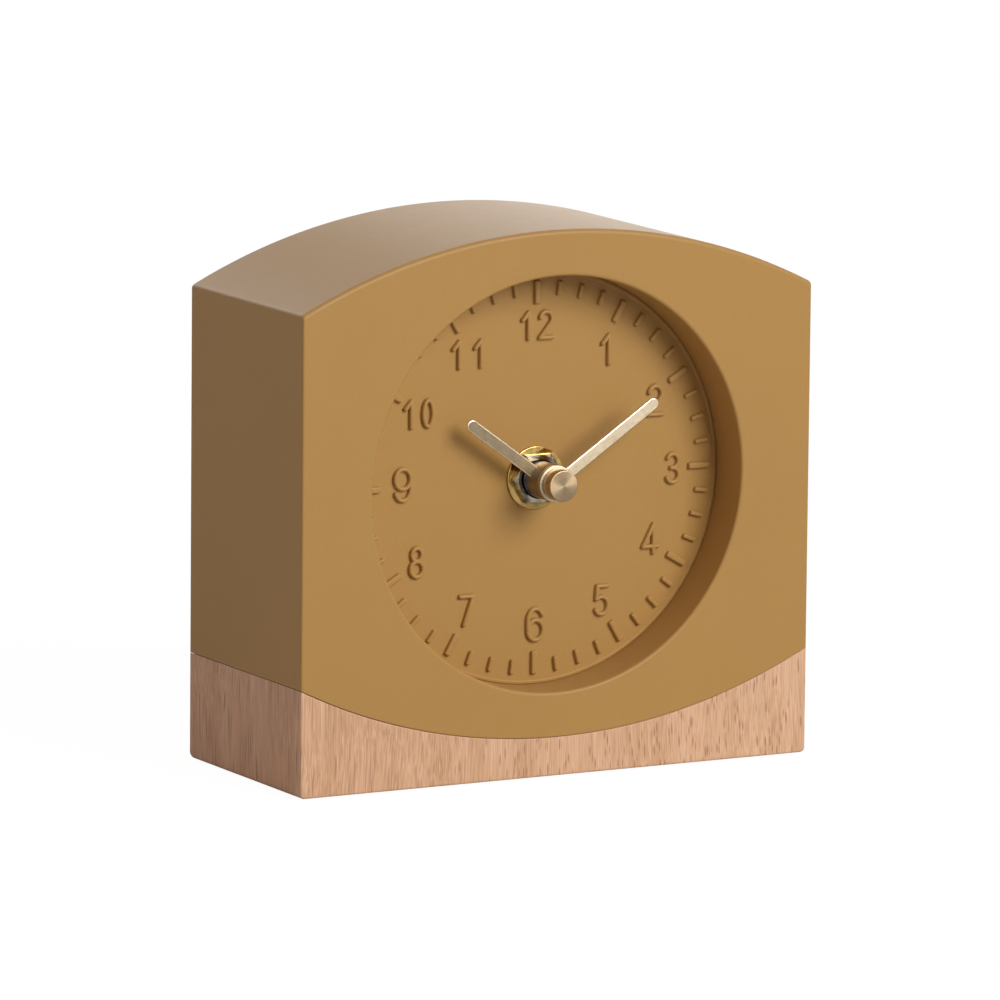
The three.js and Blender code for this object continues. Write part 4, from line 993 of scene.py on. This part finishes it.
COVER_INSET = 2.8
COVER_FRONT_Y = 25.1
COVER_BACK_Y = 27.6
COVER_EDGE = 0.4
COVER_HOLE_HALF = 30.3
PAST_COVER = (20, 30)
WELL_HALF = 28.5
WELL_FRONT_Y = 1.1
WELL_WALL = 2.0
WELL_CORNER = 1.2
WELL_FLANGE = 3.1
WELL_FRAME_BACK_Y = COVER_BACK_Y + 0.4
WELL_FRAME_FRONT_Y = COVER_BACK_Y - 0.6
COVER_SCREW_X = 56.5
COVER_SCREW_Z = 36.25
COVER_SCREW_PLACES = [
    (x, DIAL_Z + z) for z in (COVER_SCREW_Z, -COVER_SCREW_Z) for x in (-COVER_SCREW_X, COVER_SCREW_X)
]
SCREW_SEAT_Y = 26.35


def rectangle(x0, x1, z0, z1, radius, y, steps=6):
    corners = [(x1, z0), (x1, z1), (x0, z1), (x0, z0)]
    plan = rounded([(*corner, radius) for corner in corners], steps, True)
    return [(x, y, z) for x, z in plan]


def square(half, radius, y, steps=6):
    """A square with rounded corners about the dial's middle."""
    return rectangle(-half, half, DIAL_Z - half, DIAL_Z + half, radius, y, steps)


def level_bar(radius, y0, y1, x, z, segments=48):
    form = Form()
    form.turned([(0, y0), (radius, y0), (radius, y1), (0, y1)], segments, x, z)
    return form


def cover_mesh():
    corner = (COVER_INSET + COVER_EDGE, COVER_BACK_Y - COVER_EDGE)
    rim = arc(*corner, -COVER_EDGE, COVER_EDGE, 0, 90, 6)
    loops = []
    for inset, y in [(COVER_INSET, COVER_FRONT_Y), *rim]:
        loops.append([(x, y, z) for x, z in housing_outline(inset, inset, inset)])
    form = Form()
    form.stack(loops)
    hole = Form()
    hole.stack([square(COVER_HOLE_HALF, 3, y) for y in PAST_COVER])
    cutters = [hole]
    cutters += [level_bar(SCREW_HOLE, SCREW_SEAT_Y, PAST_COVER[1], x, z) for x, z in COVER_SCREW_PLACES]
    return carved(mesh_of("rear_panel", form), cutters)


def well_mesh():
    section = rounded(
        [
            (0, WELL_FRONT_Y),
            (0, WELL_FRAME_BACK_Y, 0.9),
            (WELL_FLANGE, WELL_FRAME_BACK_Y, 0.35),
            (WELL_FLANGE, WELL_FRAME_FRONT_Y),
            (WELL_WALL, WELL_FRAME_FRONT_Y),
            (WELL_WALL, WELL_FRONT_Y),
        ],
        5,
    )
    form = Form()
    form.stack([square(WELL_HALF + out, WELL_CORNER + out, y, 8) for out, y in section], cycle=True)
    return mesh_of("well_frame", form)


def screw_mesh(name, length):
    """A pan-head screw along Y, its seat at y = 0 and its thread towards -Y, with a cross recess."""
    pitch = 0.5
    crest, root, tip = 1.2, 0.95, 0.5
    head = 2.8
    thread = []
    for i in range(int(length / pitch) - 1):
        thread += [(crest, -0.3 - pitch * i), (root, -0.3 - pitch * (i + 0.5))]
    shank = [(0, -length), (tip, -length + 0.4), *thread[::-1], (crest, 0)]
    dome = [(head - 0.1, 0), (head, 0.1), *arc(0, 0.6, head, 1.0, 12, 88, 8), (0, 1.6)]
    form = Form()
    form.turned(shank + dome, 40)
    narrow, wide = 0.34, 1.75
    levels = [(0.75, 0.62), (1.2, 0.9), (1.7, 1.0)]
    cutters = []
    for half_x, half_z in ((narrow, wide), (wide, narrow)):
        loops = []
        for y, share in levels:
            x, z = half_x * share, half_z * share
            loops.append(rectangle(-x, x, -z, z, 0.08, y, 2))
        slot = Form()
        slot.stack(loops)
        cutters.append(slot)
    return carved(mesh_of(name, form, 30), cutters, 30)


piece("rear_panel", cover_mesh(), "case", "paint", ochre, ["back_cover"])
piece("well_frame", well_mesh(), "case", "paint", ochre)
cover_screw = screw_mesh("cover_screw", 8)
base_screw = screw_mesh("base_screw", 16.3)
for i, (x, z) in enumerate(COVER_SCREW_PLACES):
    seat = (x, SCREW_SEAT_Y, z)
    node = nearest_node("back_cover_screw", 4, seat)
    piece(f"cover_screw_{i + 1}", cover_screw, "case", "steel", zinc, [node], seat, (0, 25 * i, 0))


# Movement: its lid with plain signs, the setting knob and the battery

KNOB_PLACE = (16.769, 67.782)
KNOB_BACK_Y = 4.5
KNOB_HEIGHT = 4.4
KNOB_RADIUS = 5.0
KNOB_FLUTES = 14
FLUTE_DEPTH = 0.42
STEM_HOLE = 1.5
LID_HALF = 26.6
LID_LOW_Z = 56.75
LID_HIGH_Z = 93.65
LID_FRONT_Y = 2.9
LID_BACK_Y = 4.1
SIGN_RELIEF = -0.25
SIGN_WIDTH = 0.7
BARB_WIDTH = 0.6
ARROW_RADIUS = 7.4
ARROW_ENDS = (35, 145)
POLE_SIGNS = [((20.4, 59.4), (23.6, 59.4)), ((22, 57.8), (22, 61)), ((-23.6, 59.4), (-20.4, 59.4))]


def lid_mesh():
    form = Form()
    loops = []
    profile = [(0, LID_FRONT_Y), (0, 3.75), (0.03, 3.9), (0.12, 4.02), (0.35, LID_BACK_Y)]
    for inset, y in profile:
        half, low, high = LID_HALF - inset, LID_LOW_Z + inset, LID_HIGH_Z - inset
        loops.append(rectangle(-half, half, low, high, 0.8, y))
    form.stack(loops)
    lid = carved(mesh_of("movement_lid", form), [level_bar(STEM_HOLE, 0, 8, *KNOB_PLACE)])
    signs = Form()

    def arrow(start, end, steps):
        return arc(*KNOB_PLACE, ARROW_RADIUS, ARROW_RADIUS, start, end, steps)

    bead(signs, arrow(*ARROW_ENDS, 28), SIGN_WIDTH, LID_BACK_Y, SIGN_RELIEF)
    for end, way in zip(ARROW_ENDS, (-1, 1)):
        tip = Vector(arrow(end, end, 1)[0])
        ahead = Vector(arc(0, 0, 1, 1, end + 90 * way, end, 1)[0])
        out = Vector((ahead.y, -ahead.x))
        barbs = [tip - ahead * 1.6 + out * 1.3, tip + ahead * 0.5, tip - ahead * 1.6 - out * 1.3]
        for start, stop in zip(barbs, barbs[1:]):
            bead(signs, [start, stop], BARB_WIDTH, LID_BACK_Y, SIGN_RELIEF)
    for stroke in POLE_SIGNS:
        bead(signs, stroke, SIGN_WIDTH, LID_BACK_Y, SIGN_RELIEF)
    frame_points = rounded([(-22, 73, 1.5), (4, 73, 1.5), (4, 89, 1.5), (-22, 89, 1.5)], 6, True)
    bead(signs, frame_points, BARB_WIDTH, LID_BACK_Y, -0.2, closed=True)
    shape = bmesh.new()
    shape.from_mesh(lid)
    shape.from_mesh(mesh_of("lid_signs", signs, 50))
    shape.to_mesh(lid)
    shape.free()
    smooth(lid, SHARP)
    return lid


def knob_mesh():
    """A fluted knob about Y, with a rounded edge and a shallow dish."""
    segments = 14 * KNOB_FLUTES
    turns = [2 * math.pi * i / segments for i in range(segments)]

    def loop(inset, y):
        made = []
        for t in turns:
            flute = FLUTE_DEPTH * max(math.cos(KNOB_FLUTES * t), 0) ** 1.4
            radius = KNOB_RADIUS - flute - inset
            made.append((radius * math.sin(t), y, radius * math.cos(t)))
        return made

    def round_loop(radius, y):
        return [(radius * math.sin(t), y, radius * math.cos(t)) for t in turns]

    top = KNOB_HEIGHT
    form = Form()
    form.stack(
        [
            round_loop(STEM_HOLE, 0),
            loop(0.25, 0),
            loop(0.06, 0.08),
            loop(0, 0.25),
            loop(0, top - 0.7),
            loop(0.08, top - 0.3),
            loop(0.28, top - 0.08),
            loop(0.6, top),
            round_loop(3.7, top),
            round_loop(3.4, top - 0.12),
            round_loop(3.1, top - 0.3),
            round_loop(0.9, top - 0.3),
            round_loop(0.7, top - 0.45),
        ]
    )
    return mesh_of("knob", form, 32)


def battery_meshes():
    """The printed sleeve and the bare ends of a battery along Y, its button at the far end."""
    side = CELL_RADIUS
    plate = 5.95
    roll = [(5.9, -24.2), (6.3, -24.45), (6.75, -24.4), (7.05, -24.1), (side, -23.6)]
    shoulder = [(side, 23.9), (7.05, 24.35), (6.75, 24.7), (6.3, 24.75), (5.9, 24.5)]
    sleeve = Form()
    sleeve.turned([*roll, (side, -8), (side, 8), *shoulder], 96, closed=True)
    minus = [(0, -24.3), (4.2, -24.3), (4.6, -24.1), (plate, -24.15), (plate, -23.6), (0, -23.6)]
    button = rounded([(2.75, 24.4), (2.75, 26.05, 0.4), (0, 26.05)], 5)
    plus = [(0, 23.9), (plate, 23.9), (plate, 24.45), (3.4, 24.5), *button]
    ends = Form()
    ends.turned(minus, 72)
    ends.turned(plus, 72)
    return mesh_of("battery_sleeve", sleeve), mesh_of("battery_ends", ends)


KNOB_SEAT = (KNOB_PLACE[0], KNOB_BACK_Y, KNOB_PLACE[1])
CELL_RADIUS = 7.1
CELL_PLACE = (0, -3.15, 47.8)
CELL_TURN = (0, 0, -90)
sleeve_mesh, ends_mesh = battery_meshes()
piece("movement_lid", lid_mesh(), "case", "black_plastic", black, ["movement_back_cover"])
piece("knob", knob_mesh(), "setting", "white_plastic", white, ["setting_knob"], KNOB_SEAT)
cell_seat = (CELL_PLACE, CELL_TURN)
piece("battery_sleeve", sleeve_mesh, "cell", "battery_can", sleeve_print, ["battery"], *cell_seat)
piece("battery_ends", ends_mesh, "cell", "steel", zinc, (), *cell_seat)


# Underside: rubber feet let into the base, and the screws that hold it


def foot_mesh():
    profile = [
        (0, 0.25),
        (2.6, 0.25),
        *arc(3.6, 0.25, 1.0, -0.25, 180, 90, 4),
        *arc(FOOT_RADIUS - 0.4, 0.4, 0.4, -0.4, 90, 0, 5),
        (FOOT_RADIUS, FOOT_TOP_Z),
        (0, FOOT_TOP_Z),
    ]
    form = Form()
    form.turned(profile, 64)
    return mesh_of("foot", form)


foot = foot_mesh()
for i, (x, y) in enumerate(FOOT_PLACES):
    node = nearest_node("foot_pad", 4, (x, y, 0))
    piece(f"foot_{i + 1}", foot, "case", "rubber", rubber, [node], (x, y, 0), (90, 0, 0))
for i, (x, y) in enumerate(BASE_SCREW_PLACES):
    seat = (x, y, BASE_SCREW_Z)
    node = nearest_node("base_screw", 2, seat)
    piece(f"sunk_screw_{i + 1}", base_screw, "case", "steel", zinc, [node], seat, (-90, 0, 0))

bevel = nodes["movement_case"].modifiers.new("soft_edges", "BEVEL")
bevel.width = 0.3 * MM
bevel.segments = 2
bevel.limit_method = "ANGLE"
bevel.angle_limit = math.radians(50)


# Carried-over nodes

FINISHES = {
    "paint": ochre,
    "oak": oak,
    "pale_gold": lit_pale_gold,
    "brass": brass,
    "steel": zinc,
    "copper": copper_wire,
    "black_plastic": black,
    "white_plastic": white,
    "rubber": rubber,
    "board": board_green,
    "battery_can": sleeve_print,
}
for entry in frame["record"]["subparts"]:
    node = nodes[entry["node"]]
    node.data.materials.clear()
    node.data.materials.append(FINISHES[entry["material_slot"]])


# Stage: a pale floor, a white surround, soft light from the upper right, and the camera


def camera_share(tree, direct=1.0, mirrored=1.0):
    """A factor for what the camera sees, with its own share in reflections and through glass."""
    path = tree.nodes.new("ShaderNodeLightPath")
    total = None
    shares = {"Is Camera Ray": direct, "Is Glossy Ray": mirrored, "Is Transmission Ray": mirrored}
    for kind, share in shares.items():
        part = tree.nodes.new("ShaderNodeMath")
        part.operation = "MULTIPLY"
        part.inputs[1].default_value = share
        tree.links.new(path.outputs[kind], part.inputs[0])
        if total is None:
            total = part.outputs[0]
            continue
        either = tree.nodes.new("ShaderNodeMath")
        either.operation = "MAXIMUM"
        tree.links.new(total, either.inputs[0])
        tree.links.new(part.outputs[0], either.inputs[1])
        total = either.outputs[0]
    return total


def make_world(ambient):
    world = bpy.data.worlds.new("surround")
    scene.world = world
    world.use_nodes = True
    tree = world.node_tree
    tree.nodes.clear()
    lit = tree.nodes.new("ShaderNodeBackground")
    lit.inputs["Strength"].default_value = ambient
    seen = tree.nodes.new("ShaderNodeBackground")
    seen.inputs["Strength"].default_value = 1.0
    for background in (lit, seen):
        background.inputs["Color"].default_value = (1, 1, 1, 1)
    mix = tree.nodes.new("ShaderNodeMixShader")
    tree.links.new(camera_share(tree), mix.inputs["Fac"])
    tree.links.new(lit.outputs[0], mix.inputs[1])
    tree.links.new(seen.outputs[0], mix.inputs[2])
    output = tree.nodes.new("ShaderNodeOutputWorld")
    tree.links.new(mix.outputs[0], output.inputs["Surface"])


def make_floor():
    look = Look("pale_floor", Specular_IOR_Level=0.0)
    tone = look.ramp(look.noise(3, 2), (0.3, (0.64, 0.64, 0.64)), (0.7, (0.67, 0.67, 0.67)))
    look.feed("Base Color", tone)
    look.shader.inputs["Roughness"].default_value = 1.0
    tree = look.tree
    glow = tree.nodes.new("ShaderNodeEmission")
    glow.inputs["Strength"].default_value = 1.08
    mix = tree.nodes.new("ShaderNodeMixShader")
    tree.links.new(camera_share(tree, direct=0.9, mirrored=0.15), mix.inputs["Fac"])
    tree.links.new(look.shader.outputs[0], mix.inputs[1])
    tree.links.new(glow.outputs[0], mix.inputs[2])
    tree.links.new(mix.outputs[0], tree.nodes["Material Output"].inputs["Surface"])
    mesh = bpy.data.meshes.new("floor")
    half = 4
    corners = [(-half, -half, 0), (half, -half, 0), (half, half, 0), (-half, half, 0)]
    mesh.from_pydata(corners, [], [(0, 1, 2, 3)])
    mesh.materials.append(look.material)
    floor = bpy.data.objects.new("floor", mesh)
    scene.collection.objects.link(floor)


def softbox(name, place, size, power, colour=(1, 1, 1), aim=(0, 0, 0.065)):
    data = bpy.data.lights.new(name, "AREA")
    data.color = colour
    data.shape = "RECTANGLE"
    data.size, data.size_y = size
    data.energy = power
    lamp = bpy.data.objects.new(name, data)
    scene.collection.objects.link(lamp)
    lamp.location = place
    lamp.rotation_euler = (Vector(aim) - Vector(place)).to_track_quat("-Z", "Y").to_euler()


WARM = (1.0, 0.78, 0.76)
COOL = (0.9, 0.95, 1.0)
make_world(ambient=0.1)
make_floor()
softbox("key_light", place=(0.7, -1.9, 1.12), size=(1.3, 1.3), power=47.5)
softbox("side_light", place=(-2.0, -0.3, 0.7), size=(1.0, 1.0), power=5.8, colour=WARM)
softbox("back_light", place=(-0.3, 1.9, 1.0), size=(1.0, 1.6), power=12.4, colour=COOL)
softbox("rear_light", place=(1.6, 1.5, 0.5), size=(2.0, 1.0), power=4.7, colour=COOL)

# The camera stands where the photograph was taken from
eye = bpy.data.cameras.new("camera")
eye.sensor_width = 36.0
eye.lens = 345.7
eye.clip_end = 20.0
camera = bpy.data.objects.new("camera", eye)
scene.collection.objects.link(camera)
camera.location = (-1.0323, -1.8869, 0.4145)
camera.rotation_euler = Euler([math.radians(a) for a in (80.6316, -0.537, -28.5772)])
scene.camera = camera
scene.view_settings.view_transform = "Standard"
